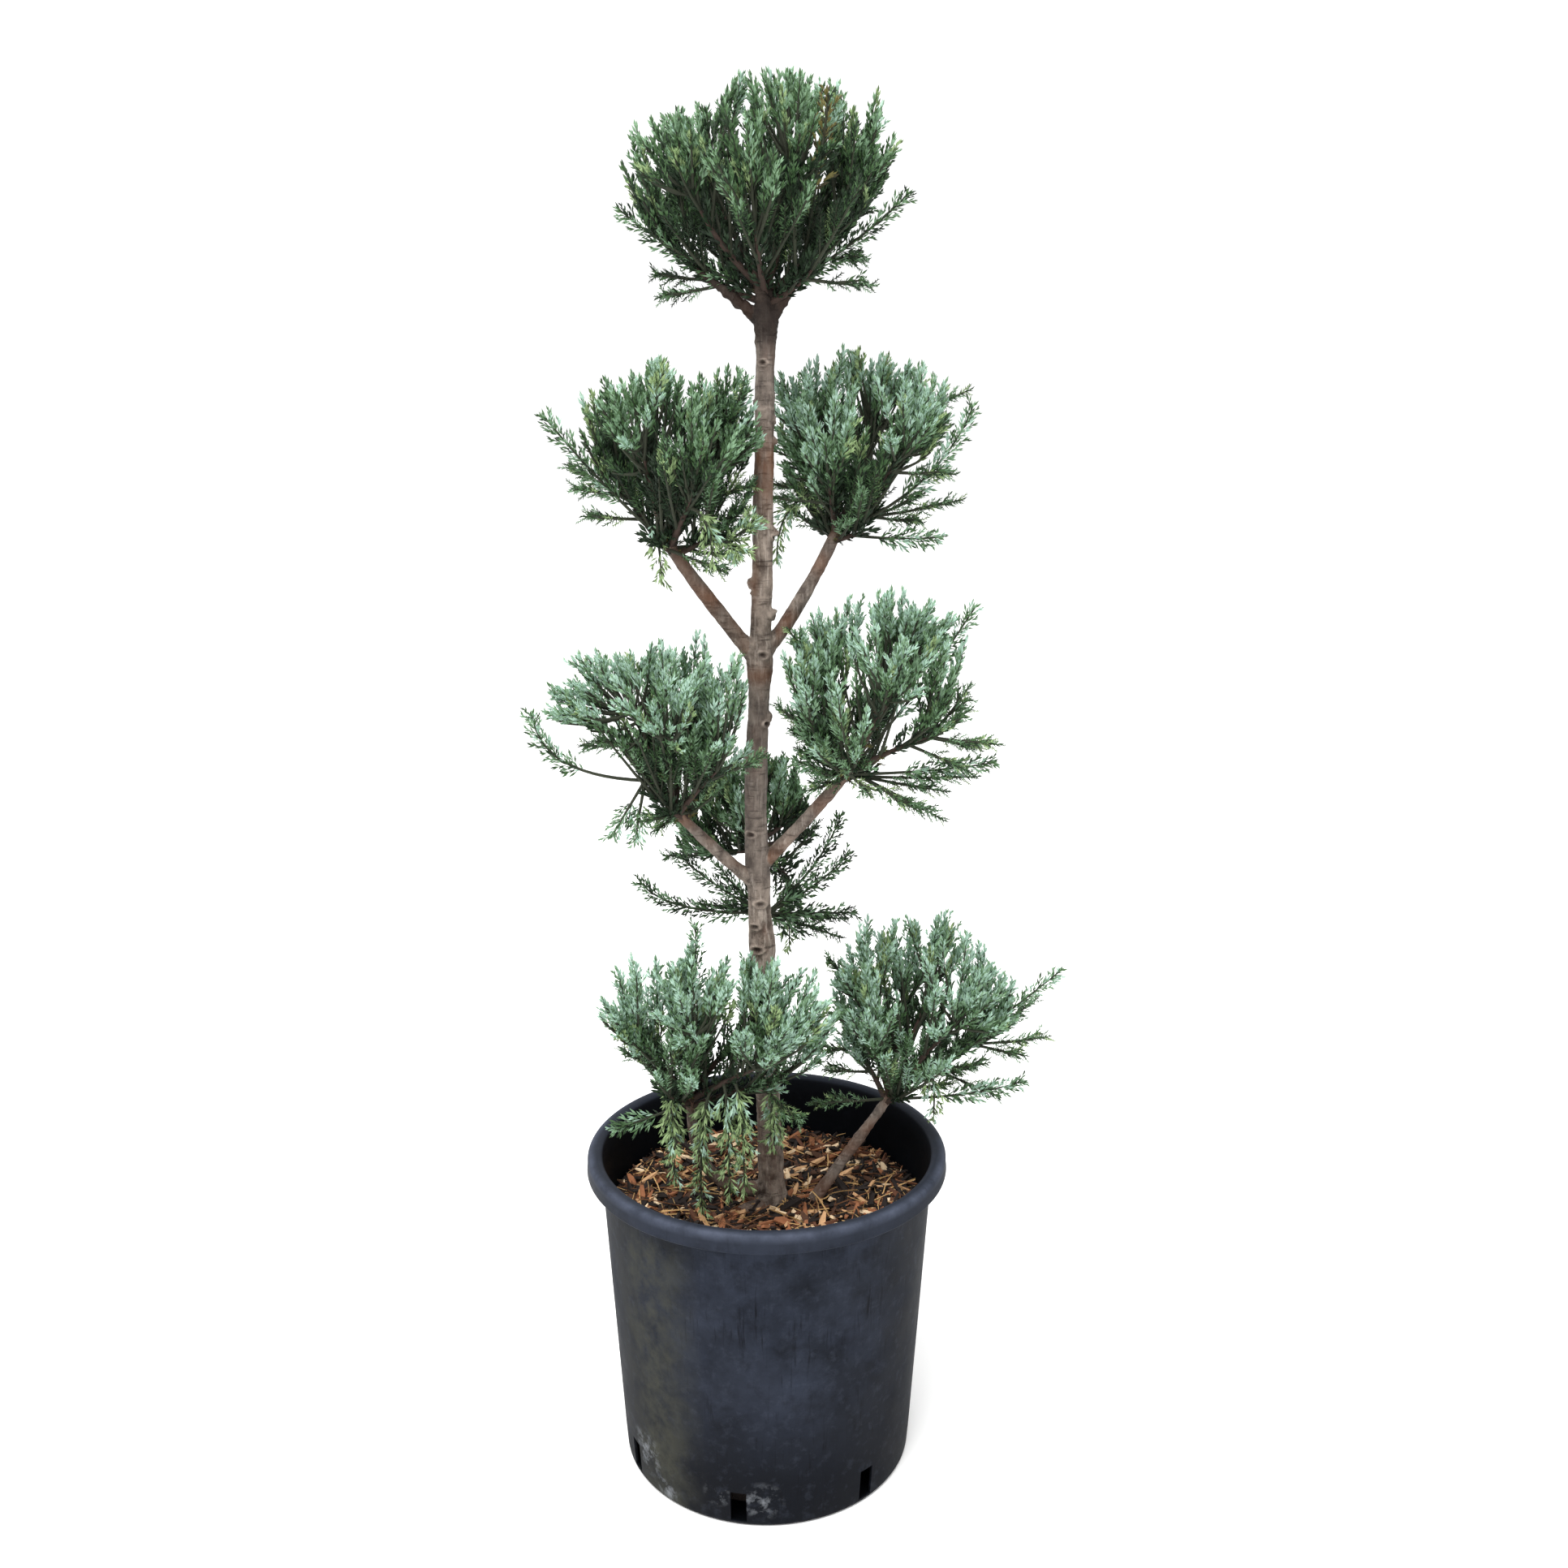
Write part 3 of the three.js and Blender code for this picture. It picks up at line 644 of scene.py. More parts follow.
barkTones = {  # laid over the bark by its attributes; the first is painted shade
    "dusk": "#514A46", "warm": "#6A4631", "callus": "#A89A8E", "grime": "#1C1411", "scar": "#1E1410",
}
trunkLine = throughPoints([Vector(p) for p in trunk["line"]], 30)


def trunkRadius(z):
    along = min(max((z - trunk["ground"]) / (trunk["line"][-1][2] - trunk["ground"]), 0), 1)
    flare = trunk["flare"] * math.exp(-max(0, z - trunk["ground"]) / trunk["flareHeight"])
    swell = sum(extra * near(z, at, trunk["swellHeight"]) for at, extra in trunk["swells"])
    return taper(trunk["baseRadius"], trunk["tipRadius"], along) + flare + swell


def boughLine(bough):
    return bow(*(Vector(p) for p in bough["points"]), 24)


def addTube(shape, line, radii, sides):  # closed round limb
    side = sideways((line[1] - line[0]).normalized(), 0)
    rings = []
    for i, (centre, radius) in enumerate(zip(line, radii)):
        way = (line[min(i + 1, len(line) - 1)] - line[max(i - 1, 0)]).normalized()
        side = (side - way * side.dot(way)).normalized()
        other = way.cross(side)
        spokes = [side * math.cos(t) + other * math.sin(t) for t in around(sides)]
        rings.append([shape.verts.new(centre + spoke * radius) for spoke in spokes])
    joinRings(shape, rings, True)


def stemOf(limb):  # short stem that a tuft grows on, past the end of its limb
    line = trunkLine if limb == "trunk" else boughLine(boughs[limb])
    way = (line[-1] - line[-2]).normalized()
    radius = trunk["tipRadius"] if limb == "trunk" else boughs[limb]["thick"][1]
    return line[-1], line[-1] + way * trunk["stemLong"], radius


def barkRelief(point, axis):  # push along the normal in mm, and the bark's tones there
    x, y, z = point
    away = point - axis
    onTrunk = away.xy.length < trunkRadius(z) + 3.5 and z < relief["trunkTop"]
    angle = math.degrees(math.atan2(away.x, -away.y))
    push = relief["lump"] * noise.noise(point / relief["lumpSize"])
    rings = noise.noise(Vector((x / 16, y / 16, z / relief["ringSize"])))
    push += relief["ring"] * rings * max(0, 0.3 + noise.noise(point / 19))  # rings in patches
    push += relief["grain"] * noise.noise(point / relief["grainSize"])
    scar, callus, grime = 0, 0, 0
    out = max(0, min(1, (away.xy.length - 14) / 45))  # along a bough
    # painted shade on the boughs: deep on the low ones under the low tufts, growing outwards under the others
    dusk = 0.55 if z < relief["potTop"] else 0.2 + 0.5 * out
    warm = max(0, 0.32 + 0.8 * noise.noise(point / 20))
    if onTrunk:
        # painted shade up the trunk, by height
        dusk = np.interp(z, *zip(*relief["dusk"]))
        for at, turn, half in relief["scars"]:
            if abs(z - at) > 12:
                continue
            off = (angle - turn + 180) % 360 - 180
            u = math.radians(off) * away.xy.length / half
            v = (z - at) / (half * 0.62)
            e = math.hypot(u, v)
            push += relief["scarRim"] * near(e, 1, 0.4)
            push -= relief["scarPit"] * near(e, 0, 0.6)
            scar = max(scar, math.exp(-(e / 0.7) ** 4))
            # pale callus round each scar, paler on its upper side as a painted highlight
            rim = max(0, 0.7 + 0.9 * noise.noise(point / 4)) * (1 if v > -0.4 else 0.6)
            callus = max(callus, rim * near(e, 1.05, 0.3))
        ragged = relief["shredHeight"] + 9 * noise.noise(Vector((angle / 22, 0, 4)))
        peeled = past(-z, -ragged, 1.2)
        push += relief["shredStep"] * (0.5 - peeled)
        push -= 1.1 * near(angle, relief["split"], 7) * peeled  # split below the shredded edge
        warm = near(z, relief["peeledAt"], 24) * (0.75 + 0.6 * noise.noise(Vector((angle / 40, z / 14, 1))))
        for at in relief["edges"]:  # pale edges where a layer of bark ends
            wavy = at + 3 * noise.noise(Vector((angle / 50, at, 2)))
            callus = max(callus, 0.55 * near(z, wavy, 0.9))
        height, turn = relief["streakAt"]
        streak = near(z, height, 20) * near(angle, turn, 32)
        warm = max(warm, 0.6 * streak, near(z, relief["forkAt"], 7) * 0.7)
    # darker collar from 914 mm up, where the trunk goes into the top tuft
    if z > relief["crownFrom"]:
        grime = past(z, relief["darkCollarFrom"], 2.5)
        push += grime * 1.5 * noise.noise(point / 4)
    if z < relief["potTop"] and x > 30:
        push += 0.8 * max(0, noise.noise(point / 3.6))  # small bumps on the low right bough
    return push, dusk, warm, callus, grime, scar


def thinBark():  # thin grey-beige bark: crisp rings, long streaks, reddish where it peels, dark in the scars
    material, tree, shader, coords = startMaterial("thinBark", {"IOR": 1.45, "Specular IOR Level": 0.2})

    def grain(*look):
        return patches(tree, coords, *look, rough=0.62)

    mottle = overlap(tree, grain(11, 0.38, 0.62, 1, (1, 1, 0.8)))
    cracks = overlap(tree, grain(2.4, 0.56, 0.64, 1, (0.1, 0.1, 1)), grain(14, 0.42, 0.56, 0.6))
    coats = [
        ("#BDB1A6", grain(3, 0.53, 0.7, 0.65, (1, 1, 0.1))),  # pale streaks up the stem
        ("#5E3E31", grain(38, 0.53, 0.68, 0.6, (1, 1, 0.5))),  # reddish young bark
        ("#2A201B", cracks),  # short ring cracks
        ("#40342D", grain(2.2, 0.56, 0.68, 0.5, (1, 1, 0.08))),  # dark streaks up the stem
    ]
    for name, hexColour in barkTones.items():
        where = addNode(tree, "ShaderNodeAttribute", attribute_name=name).outputs["Fac"]
        coats.append((hexColour, (where, 0, 1 / 0.85, 1)))
    layCoats(tree, shader, "#4C423B", "#93867B", mottle, coats)
    height = addNode(tree, "ShaderNodeMath", links={0: mottle, 1: cracks}, operation="SUBTRACT")
    finishSurface(tree, shader, mottle, height, (0.8, 1), (0.7, 0.9))
    return material


def trunkAxis(z):
    line = np.array([tuple(p) for p in trunkLine])
    return Vector((np.interp(z, line[:, 2], line[:, 0]), np.interp(z, line[:, 2], line[:, 1]), z))


def makeBark():
    shape = bmesh.new()
    addTube(shape, trunkLine, [trunkRadius(p.z) for p in trunkLine], 28)
    for bough in boughs.values():
        line = boughLine(bough)
        addTube(shape, line, [taper(*bough["thick"], i / (len(line) - 1)) for i in range(len(line))], 16)
    for limb in ("trunk", *boughs):
        foot, top, radius = stemOf(limb)
        line = [foot - (top - foot) * 0.2, foot, foot.lerp(top, 0.5), top]
        addTube(shape, line, [radius, radius, radius * 0.9, radius * 0.75], 14)
    for bend, tip in trunk["forks"]:
        line = bow(trunkLine[-1] - up * 7, Vector(bend), Vector(tip), 8)
        addTube(shape, line, [taper(*trunk["forkRadius"], i / 8) for i in range(9)], 12)
    addTube(shape, [Vector(p) for p in trunk["lowStub"]], trunk["lowStubRadii"], 12)
    for z, turn, long, radius in relief["stubs"]:
        out = Vector((math.sin(math.radians(turn)), -math.cos(math.radians(turn)), 0.35)).normalized()
        foot, end = trunkAxis(z), trunkAxis(z) + out * (trunkRadius(z) + long)
        addTube(shape, [foot, foot.lerp(end, 0.6), end], [radius * 1.7, radius * 1.3, radius], 10)
    skin = objectOf("bark", shape)
    union = skin.modifiers.new("union", "REMESH")
    union.mode = "VOXEL"
    union.voxel_size = relief["voxel"] * mm
    soften = skin.modifiers.new("soften", "SMOOTH")
    soften.factor = 0.5
    soften.iterations = 3
    plainMesh(skin)

    mesh = skin.data
    axes = {z: trunkAxis(z) for z in range(190, 1010)}  # trunk's middle at each millimetre of height
    tones = {name: [] for name in barkTones}
    moved = []
    for vert in mesh.vertices:
        point = vert.co / mm
        push, *shades = barkRelief(point, axes[round(point.z)])
        moved.extend((point + vert.normal * push) * mm)
        for tone, value in zip(tones.values(), shades):
            tone.append(value)
    mesh.vertices.foreach_set("co", moved)
    for name, values in tones.items():
        mesh.attributes.new(name, "FLOAT", "POINT").data.foreach_set("value", values)
    mesh.update()
    mesh.materials.clear()
    mesh.materials.append(thinBark())
    smoothShade(mesh, 180)
    addPiece(skin, "bark", "trunk", *boughs)


makeBark()
print("bark made")


# Tufts: limbs, twigs and shoots by one rule, feathered with scale leaves inside each tuft's reach

# outline: the tuft's edge seen from the front, across and up, clockwise from its foot; gaps in it show sky
# limbs, turn, bow: how many limbs, where the first points, how far they sag; bare: their share without green
# strays end at a tip with a bow; combs are level shoots to a place across and up; hanging: tips of sprays
# dead: tip of a dry sprig; fills: more plume tips near the front; foot: where the long shoots start
# plumes over the top, rows of them along the outline; thin: share of twigs left out; heart: hollow share
# tone: painted light and shade over the whole tuft, paler or darker than the rest; dim: long shoots in the
# shade, given darker tints as painted shade
tufts = {
    "top": {
        "on": "trunk", "centre": (-4, 0, 1026), "reach": (101, 98, 83), "limbs": 9, "turn": 0.4, "bow": 0.12,
        "outline": [(-16, 942), (-60, 972), (-88, 1003), (-105, 1040), (-94, 1068), (-42, 1078), (-20, 1098),
                    (10, 1103), (44, 1094), (86, 1082), (97, 1050), (78, 1004), (60, 972), (14, 944)],
        "strays": [(104, -8, 1018, 0.08), (-104, -12, 1006, 0.08)], "hanging": [], "dead": [(43, -58, 1074)],
        "combs": [(-80, 965), (-76, 946), (80, 956), (74, 975)], "gaps": [], "fills": [], "dim": True,
        "rows": 2, "plumes": 68, "thin": 0.3, "heart": 0.56, "tone": -0.14, "bare": 0.1,
    },
    "high_left": {
        "on": "bough_high_left", "centre": (-74, -36, 834), "reach": (73, 72, 74),
        "limbs": 6, "turn": 1.9, "bow": 0.05,
        "outline": [(-62, 757), (-82, 776), (-94, 802), (-124, 826), (-122, 850), (-134, 878), (-104, 888),
                    (-76, 904), (-54, 886), (-26, 898), (-12, 890), (0, 850), (-8, 812), (-18, 776),
                    (-26, 758)],
        "strays": [(-159, -40, 861, 0.04)],
        "hanging": [(-78, -24, 742), (-22, -60, 766), (-38, -62, 758), (-12, -52, 788)],
        "combs": [(-145, 826), (-137, 810), (-132, 790), (-22, 760), (-30, 751), (-10, 812), (-16, 797),
                  (-17, 785), (-20, 772), (-14, 888)],
        "gaps": [(-31, 839, 10), (-17, 830, 5)], "fills": [(-124, 862), (-132, 851)],
        "rows": 2, "plumes": 34, "thin": 0.25, "heart": 0.5, "tone": -0.07, "bare": 0.2,
    },
    "high_right": {
        "on": "bough_high_right", "centre": (80, 40, 839), "reach": (78, 75, 78),
        "limbs": 6, "turn": 0.9, "bow": 0.05,
        "outline": [(54, 765), (38, 788), (5, 804), (5, 893), (34, 907), (64, 913), (90, 912), (114, 906),
                    (142, 892), (146, 866), (136, 844), (104, 826), (98, 798), (80, 774)],
        "strays": [(160, 28, 871, 0.2), (134, 20, 772, 0.1)], "hanging": [(9, 28, 754)],
        "combs": [(160, 884), (146, 820), (154, 800), (5, 812), (6, 802), (124, 782), (16, 796), (122, 804),
                  (12, 888)],
        "gaps": [(12, 868, 6)], "fills": [(20, 832), (10, 826)],
        "rows": 2, "plumes": 34, "thin": 0.25, "heart": 0.5, "tone": 0.11, "bare": 0.2,
    },
    "mid_left": {
        "on": "bough_mid_left", "centre": (-88, -46, 630), "reach": (78, 74, 70),
        "limbs": 6, "turn": 2.6, "bow": 0, "foot": (-92, -40, 592),
        "outline": [(-62, 556), (-86, 580), (-100, 614), (-128, 633), (-164, 642), (-160, 664), (-142, 691),
                    (-104, 688), (-84, 699), (-46, 704), (-18, 688), (-14, 664), (-28, 645), (-40, 630),
                    (-6, 616), (-8, 598), (-30, 570), (-42, 554)],
        "strays": [(-174, -52, 645, 0.38), (-117, -46, 551, 0.02), (-100, -46, 546, 0.02)], "hanging": [],
        "combs": [(-139, 617), (-126, 626), (-2, 612), (-86, 552), (-92, 566), (-20, 682)],
        "gaps": [(-70, 645, 8), (-50, 645, 5), (-28, 636, 13)], "fills": [(-40, 694)],
        "rows": 1, "plumes": 30, "thin": 0.35, "heart": 0.48, "tone": 0.2, "bare": 0.5,
    },
    "mid_right": {
        "on": "bough_mid_right", "centre": (88, -30, 653), "reach": (82, 76, 84),
        "limbs": 7, "turn": 0.2, "bow": 0,
        "outline": [(46, 572), (28, 606), (20, 644), (25, 668), (12, 691), (34, 719), (84, 736), (104, 738),
                    (142, 719), (153, 701), (144, 668), (136, 648), (142, 628), (100, 608), (66, 584)],
        "strays": [(174, -34, 604, 0.06), (158, -26, 722, 0.04), (30, -42, 632, 0.08), (46, -42, 652, 0.06),
                   (24, -36, 606, 0.05)], "hanging": [],
        "combs": [(157, 660), (175, 620), (162, 592), (138, 556), (118, 568), (82, 574), (155, 645),
                  (34, 584), (164, 612), (150, 602), (20, 628), (25, 613), (36, 599), (48, 590), (18, 706),
                  (10, 648), (140, 578)],
        "gaps": [(112, 628, 9), (62, 634, 6), (18, 662, 7)],
        "fills": [(66, 676), (70, 694), (80, 716), (60, 706)],
        "rows": 1, "plumes": 40, "thin": 0.35, "heart": 0.44, "tone": 0.15, "bare": 0.5,
    },
    "mid_back": {
        "on": "bough_mid_back", "centre": (-5, 98, 528), "reach": (82, 70, 82),
        "limbs": 6, "turn": 1.2, "bow": 0.05, "foot": (0, 42, 460), "dim": True,
        "outline": [(-16, 446), (-40, 470), (-78, 500), (-80, 540), (-56, 576), (-18, 582), (24, 582),
                    (32, 556), (38, 520), (20, 480), (24, 450), (16, 418)],
        "strays": [(-108, 84, 474, 0.3), (64, 84, 533, 0.16), (71, 84, 499, 0.12), (76, 80, 448, 0.02),
                   (-71, 62, 503, 0.1), (-40, 60, 496, 0.1), (-30, 58, 462, 0.1), (24, 62, 470, 0.1),
                   (30, 60, 436, 0.1)], "hanging": [(20, 84, 414)],
        "combs": [(-86, 490), (44, 526), (70, 436), (66, 416), (-58, 456), (14, 430)],
        "gaps": [(30, 490, 10)], "fills": [],
        "rows": 1, "plumes": 14, "thin": 0.2, "heart": 0.36, "tone": -0.06, "bare": 0.2,
    },
    "low_left": {
        "on": "bough_low_left", "centre": (-38, -62, 396), "reach": (92, 74, 74),
        "limbs": 7, "turn": 2.2, "bow": 0.02,
        "outline": [(-70, 330), (-96, 366), (-120, 394), (-130, 426), (-104, 461), (-76, 454), (-56, 472),
                    (-56, 426), (-53, 400), (-46, 428), (-40, 450), (-12, 462), (10, 458), (8, 426),
                    (22, 440), (39, 447), (57, 410), (44, 372), (22, 352), (10, 330), (-20, 322)],
        "strays": [(-54, -60, 482, 0.04), (-122, -52, 310, 0.1)],
        "hanging": [(-53, -56, 240), (-30, -60, 254), (-74, -54, 264), (-18, -62, 260), (6, -50, 290)],
        "combs": [(-114, 376), (25, 326)],
        "gaps": [(-24, 367, 9), (24, 372, 10)], "fills": [(-28, 446), (-30, 428), (44, 430), (48, 414)],
        "rows": 1, "plumes": 28, "thin": 0.3, "heart": 0.4, "tone": 0.33, "bare": 0.12,
    },
    "low_right": {
        "on": "bough_low_right", "centre": (132, 15, 386), "reach": (88, 82, 84),
        "limbs": 7, "turn": 0.7, "bow": 0,
        "outline": [(100, 298), (84, 326), (54, 340), (48, 364), (56, 418), (80, 458), (114, 467),
                    (148, 471), (176, 444), (190, 422), (208, 408), (212, 384), (208, 362), (176, 336),
                    (150, 318), (122, 308)],
        "strays": [(244, 14, 418, 0.02), (214, 8, 322, 0.12)], "hanging": [(140, 4, 290)],
        "combs": [(228, 387), (232, 364), (216, 342), (196, 302), (38, 308), (52, 426), (50, 332), (46, 350),
                  (172, 324), (182, 342), (156, 314)],
        "gaps": [(122, 374, 9), (110, 400, 5)], "fills": [(104, 450), (168, 424)],
        "rows": 1, "plumes": 32, "thin": 0.4, "heart": 0.46, "tone": 0.3, "bare": 0.5,
    },
}
growth = {
    "lowestCosine": -0.35, "limbShare": 0.6, "limbRise": 0.06, "limbRadius": 0.72, "limbThickest": 3.1,
    "limbTip": 0.34, "limbLift": (0.9, 0.35), "skirtLimbs": 2, "limbFeathers": 22, "firstFeather": 0.06,
    "limbFeatherStep": 0.041, "needleShare": 0.6,
    "twigsPerLimb": 9, "firstTwig": 0.22, "lastTwig": 0.98, "twigLongest": 80, "twigRadius": (1.5, 0.6),
    "shootGap": 7.2, "shootLongest": 34, "shootShortest": 7, "shootRadius": (0.7, 0.4),
    "shootCurl": 0.06, "featherGap": 6, "featherLong": 21, "featherSide": (15, 10),
    "featherSpan": (0.08, 0.66), "spire": 28, "awlBelow": -0.45, "looseShare": 0.4,
    "freshShare": 0.03, "freshPatch": 38,
    "crownLow": -0.05, "crownLift": 0.36, "spireLift": 0.45, "edgeLift": 0.4, "plumeShortest": 34,
    "edgeGap": 14, "edgeNotch": 13, "edgeScatter": 44, "edgeLow": 0.3, "rowDeep": (14, 34), "fillOut": 22,
    "longShortest": 42, "straySag": 0.55, "strayRadius": 1.5, "hangAbove": 22, "hangOut": 10, "dryLong": 75,
}
# long shoots: bare share, sizes of the feathers from foot to tip
strayLook = {"leafy": 0.35, "dimLeafy": 0.12, "sizes": (18, 12), "gap": 1.9}
combLook = {"leafy": 0.25, "sizes": (14, 10), "scatter": 16, "bow": 0.06, "sag": 0.02}
hangLook = {"leafy": 0.25, "sizes": (20, 13), "sidesPast": 60}
dryLook = {"leafy": 0.15, "sizes": (21, 13)}
# side sprays of long shoots: places along, lean, length at the foot and its loss to the tip, feathers
combSides = {"places": (0.46, 0.68), "ahead": 0.8, "lift": 0.12, "long": (26, 20), "sizes": (13, 9),
             "salt": 85}
hangSides = {"places": (0.5, 0.6, 0.7, 0.8), "ahead": 0.85, "lift": 0, "long": (24, 14), "sizes": (12, 9),
             "salt": 75}
leafTones = [  # waxy scale leaves: blue-white bloom on the tips, plain green deeper in; each darker neighbour, such as the Shade tones, is painted shade
    ("waxShade", "#1C2A1B", "#121C12"),
    ("waxDeep", "#2C3F2A", "#1E2E1D"),
    ("waxGreen", "#4E6A45", "#3B5735"),
    ("waxBlue", "#7F9B7C", "#638364"),
    ("waxSilver", "#AAC5B4", "#8DAC9A"),
    ("freshShade", "#5C6E46", "#475937"),
    ("waxFresh", "#94AA7A", "#7A9262"),
    ("dryShade", "#3A3720", "#282615"),
    ("dryBrown", "#6A6436", "#504B26"),
]
twigTones = [("twigBrown", "#47362E", "#231914"), ("twigGreen", "#363A2A", "#1F2419")]
deep, green, blue, silver, fresh, dry = 1, 2, 3, 4, 6, 8  # places in leafTones, each after its darker tone, which is its painted shade
brownBark, greenBark = range(2)
scalePlume, loosePlume, awlPlume = range(3)
featherShapes = [  # span, leaf and thick as shares of the feather's length, widest as a share of the leaf's
    {"leaves": 6, "span": (0.03, 0.66), "lean": 22, "leaf": (0.46, 0.35), "thick": 0.06, "widest": 0.55},
    {"leaves": 6, "span": (0.04, 0.7), "lean": 29, "leaf": (0.52, 0.37), "thick": 0.054, "widest": 0.5},
    {"leaves": 13, "span": (0.05, 0.9), "lean": 54, "leaf": (0.35, 0.21), "thick": 0.042, "widest": 0},
]


def waxyLeaf(name, light, dark):  # waxy scale leaf: dull sheen, slight mottling from leaf to leaf
    return twoTone(name, light, dark, 7, {"IOR": 1.45, "Specular IOR Level": 0.3}, spread=(0.5, 0.72))


def twigBark(name, light, dark):  # young bark: flaking brown on the limbs, green on the fine shoots
    return twoTone(name, light, dark, 5, {"Roughness": 0.85, "IOR": 1.45}, 4, bump=(0.5, 0.4))


def featherShape(kind):  # one unit long up Z: small leafy branchlets round an axis, some a tone darker as painted shade
    shape = bmesh.new()
    step = shape.faces.layers.int.new("step")

    def addLeaf(root, way, length, thick, tone):
        side = way.orthogonal().normalized()
        other = way.cross(side)
        waist = root + way * length * kind["widest"]
        spokes = [side * math.cos(t) + other * math.sin(t) for t in around(3)]
        belt = [shape.verts.new(waist + spoke * thick) for spoke in spokes]
        tip = shape.verts.new(root + way * length)
        faces = [shape.faces.new([belt[k], belt[(k + 1) % 3], tip]) for k in range(3)]
        if kind["widest"]:
            foot = shape.verts.new(root)
            faces += [shape.faces.new([belt[(k + 1) % 3], belt[k], foot]) for k in range(3)]
        for face in faces:
            face[step] = tone

    addLeaf(up * 0.5, up.copy(), 0.5, kind["thick"], 0)
    for i in range(kind["leaves"]):
        share = i / (kind["leaves"] - 1)
        height = taper(*kind["span"], share)
        turn = i * goldenAngle + 0.5 * (chance(i, kind["leaves"]) - 0.5)
        lean = math.radians(kind["lean"] * (1.1 - 0.35 * share))
        way = Vector((math.sin(lean) * math.cos(turn), math.sin(lean) * math.sin(turn), math.cos(lean)))
        length = taper(*kind["leaf"], share) * (0.85 + 0.3 * chance(i, 9))
        addLeaf(up * height, way, length, kind["thick"], -1 if i % 5 in (0, 2) else 0)
    return shape


def featherTree(materials):  # sets a feather on each point, by the point's own aim, spin and size
    tree, size = startTree("featherSprays", {"Shapes": "Collection", "Spread": "Float"})
    shelf = addNode(tree, "GeometryNodeCollectionInfo", {1: True, 2: True}, {0: size["Shapes"]})
    kinds = {"aim": "FLOAT_VECTOR", "spin": "FLOAT", "size": "FLOAT", "shape": "INT"}
    read = {name: addNode(tree, "GeometryNodeInputNamedAttribute", {0: name}, data_type=kind)
            for name, kind in kinds.items()}
    aimed = addNode(tree, "FunctionNodeAlignRotationToVector", links={2: read["aim"]}, axis="Z")
    spun = addNode(tree, "FunctionNodeAxisAngleToRotation", {0: (0, 0, 1)}, {1: read["spin"]})
    turned = addNode(tree, "FunctionNodeRotateRotation", links={0: aimed, 1: spun}, rotation_space="LOCAL")
    across = addNode(tree, "ShaderNodeMath", links={0: read["size"], 1: size["Spread"]},
                     operation="MULTIPLY")
    scale = addNode(tree, "ShaderNodeCombineXYZ", links={0: across, 1: across, 2: read["size"]})
    sprays = addNode(tree, "GeometryNodeInstanceOnPoints", {3: True},
                     {0: size["Geometry"], 2: shelf, 4: read["shape"], 5: turned, 6: scale})
    endTree(tree, sprays, materials, "tint", "step")
    return tree


def twigTree(materials):  # round twigs along edges, as thick as each point says
    tree, size = startTree("twigs", {"Sides": "Int"})
    thick = addNode(tree, "GeometryNodeInputNamedAttribute", {0: "thick"}, data_type="FLOAT")
    lines = addNode(tree, "GeometryNodeMeshToCurve", links={0: size["Geometry"]})
    ring = addNode(tree, "GeometryNodeCurvePrimitiveCircle", {"Radius": 1.0}, {"Resolution": size["Sides"]})
    skin = addNode(tree, "GeometryNodeCurveToMesh", {"Fill Caps": True}, {0: lines, 1: ring, "Scale": thick})
    endTree(tree, skin, materials, "tint")
    return tree


woodPoints = [(p, trunkRadius(p.z)) for p in trunkLine]
for bough in boughs.values():
    woodPoints += [(p, bough["thick"][0]) for p in boughLine(bough)[:-2]]
woodSpots = np.array([tuple(p) for p, r in woodPoints])
woodRadii = np.array([r for p, r in woodPoints])


def clearOfWood(point, gap):  # true if the point is off the trunk, the boughs, the pot and the mix
    away = np.linalg.norm(woodSpots - np.array(point), axis=1) - woodRadii
    fromAxis = math.hypot(point[0], point[1])
    inWall = point[2] < pot["height"] + 2 and fromAxis > wallRadius(point[2]) - 8
    return away.min() > gap and not inWall and point[2] > pot["mixTop"] + 7


def reachAlong(tuft, point, way):  # distance from point to the tuft's ellipsoid along way
    p = np.array([(point[k] - tuft["centre"][k]) / tuft["reach"][k] for k in range(3)])
    d = np.array([way[k] / tuft["reach"][k] for k in range(3)])
    b = p @ d
    root = b * b - (d @ d) * (p @ p - 1)
    return (math.sqrt(root) - b) / (d @ d) if root > 0 else 0


def placeIn(tuft, point):  # position as shares of the reach, and its distance from the centre
    place = Vector([(point[k] - tuft["centre"][k]) / tuft["reach"][k] for k in range(3)])
    return place, place.length


def pickTint(tuft, tip, plume, *seed):  # tone of one shoot: paler outwards where the new tips carry bloom, with painted light upwards and painted shade inside, fresh in patches
    place, outer = placeIn(tuft, tip)
    patch = max(0, noise.noise(tip / growth["freshPatch"]) - 0.22)
    if chance(*seed, 1) < growth["freshShare"] + 0.8 * patch:
        return fresh
    luck = 0.2 * (chance(*seed, 2) - 0.5) + 0.36 * (plume - 0.5)
    # outer: bloom on the tips and painted shade inside; place.z: painted light from above; the tuft's tone:
    # painted light and shade for the whole tuft
    light = 0.5 * outer * outer + 0.34 * place.z + luck + tuft["tone"]
    return silver if light > 0.52 else blue if light > 0.22 else green if light > 0 else deep


def spreadOut(tuft, k, count, lowest, turn, share=1):  # where the k-th of count limbs or plumes ends
    height = 1 - (1 - lowest) * (k + 0.5) / count
    level = math.sqrt(1 - height * height)
    place = (level * math.cos(turn) * share, level * math.sin(turn) * share, height * share)
    return Vector([tuft["centre"][a] + tuft["reach"][a] * place[a] for a in range(3)])


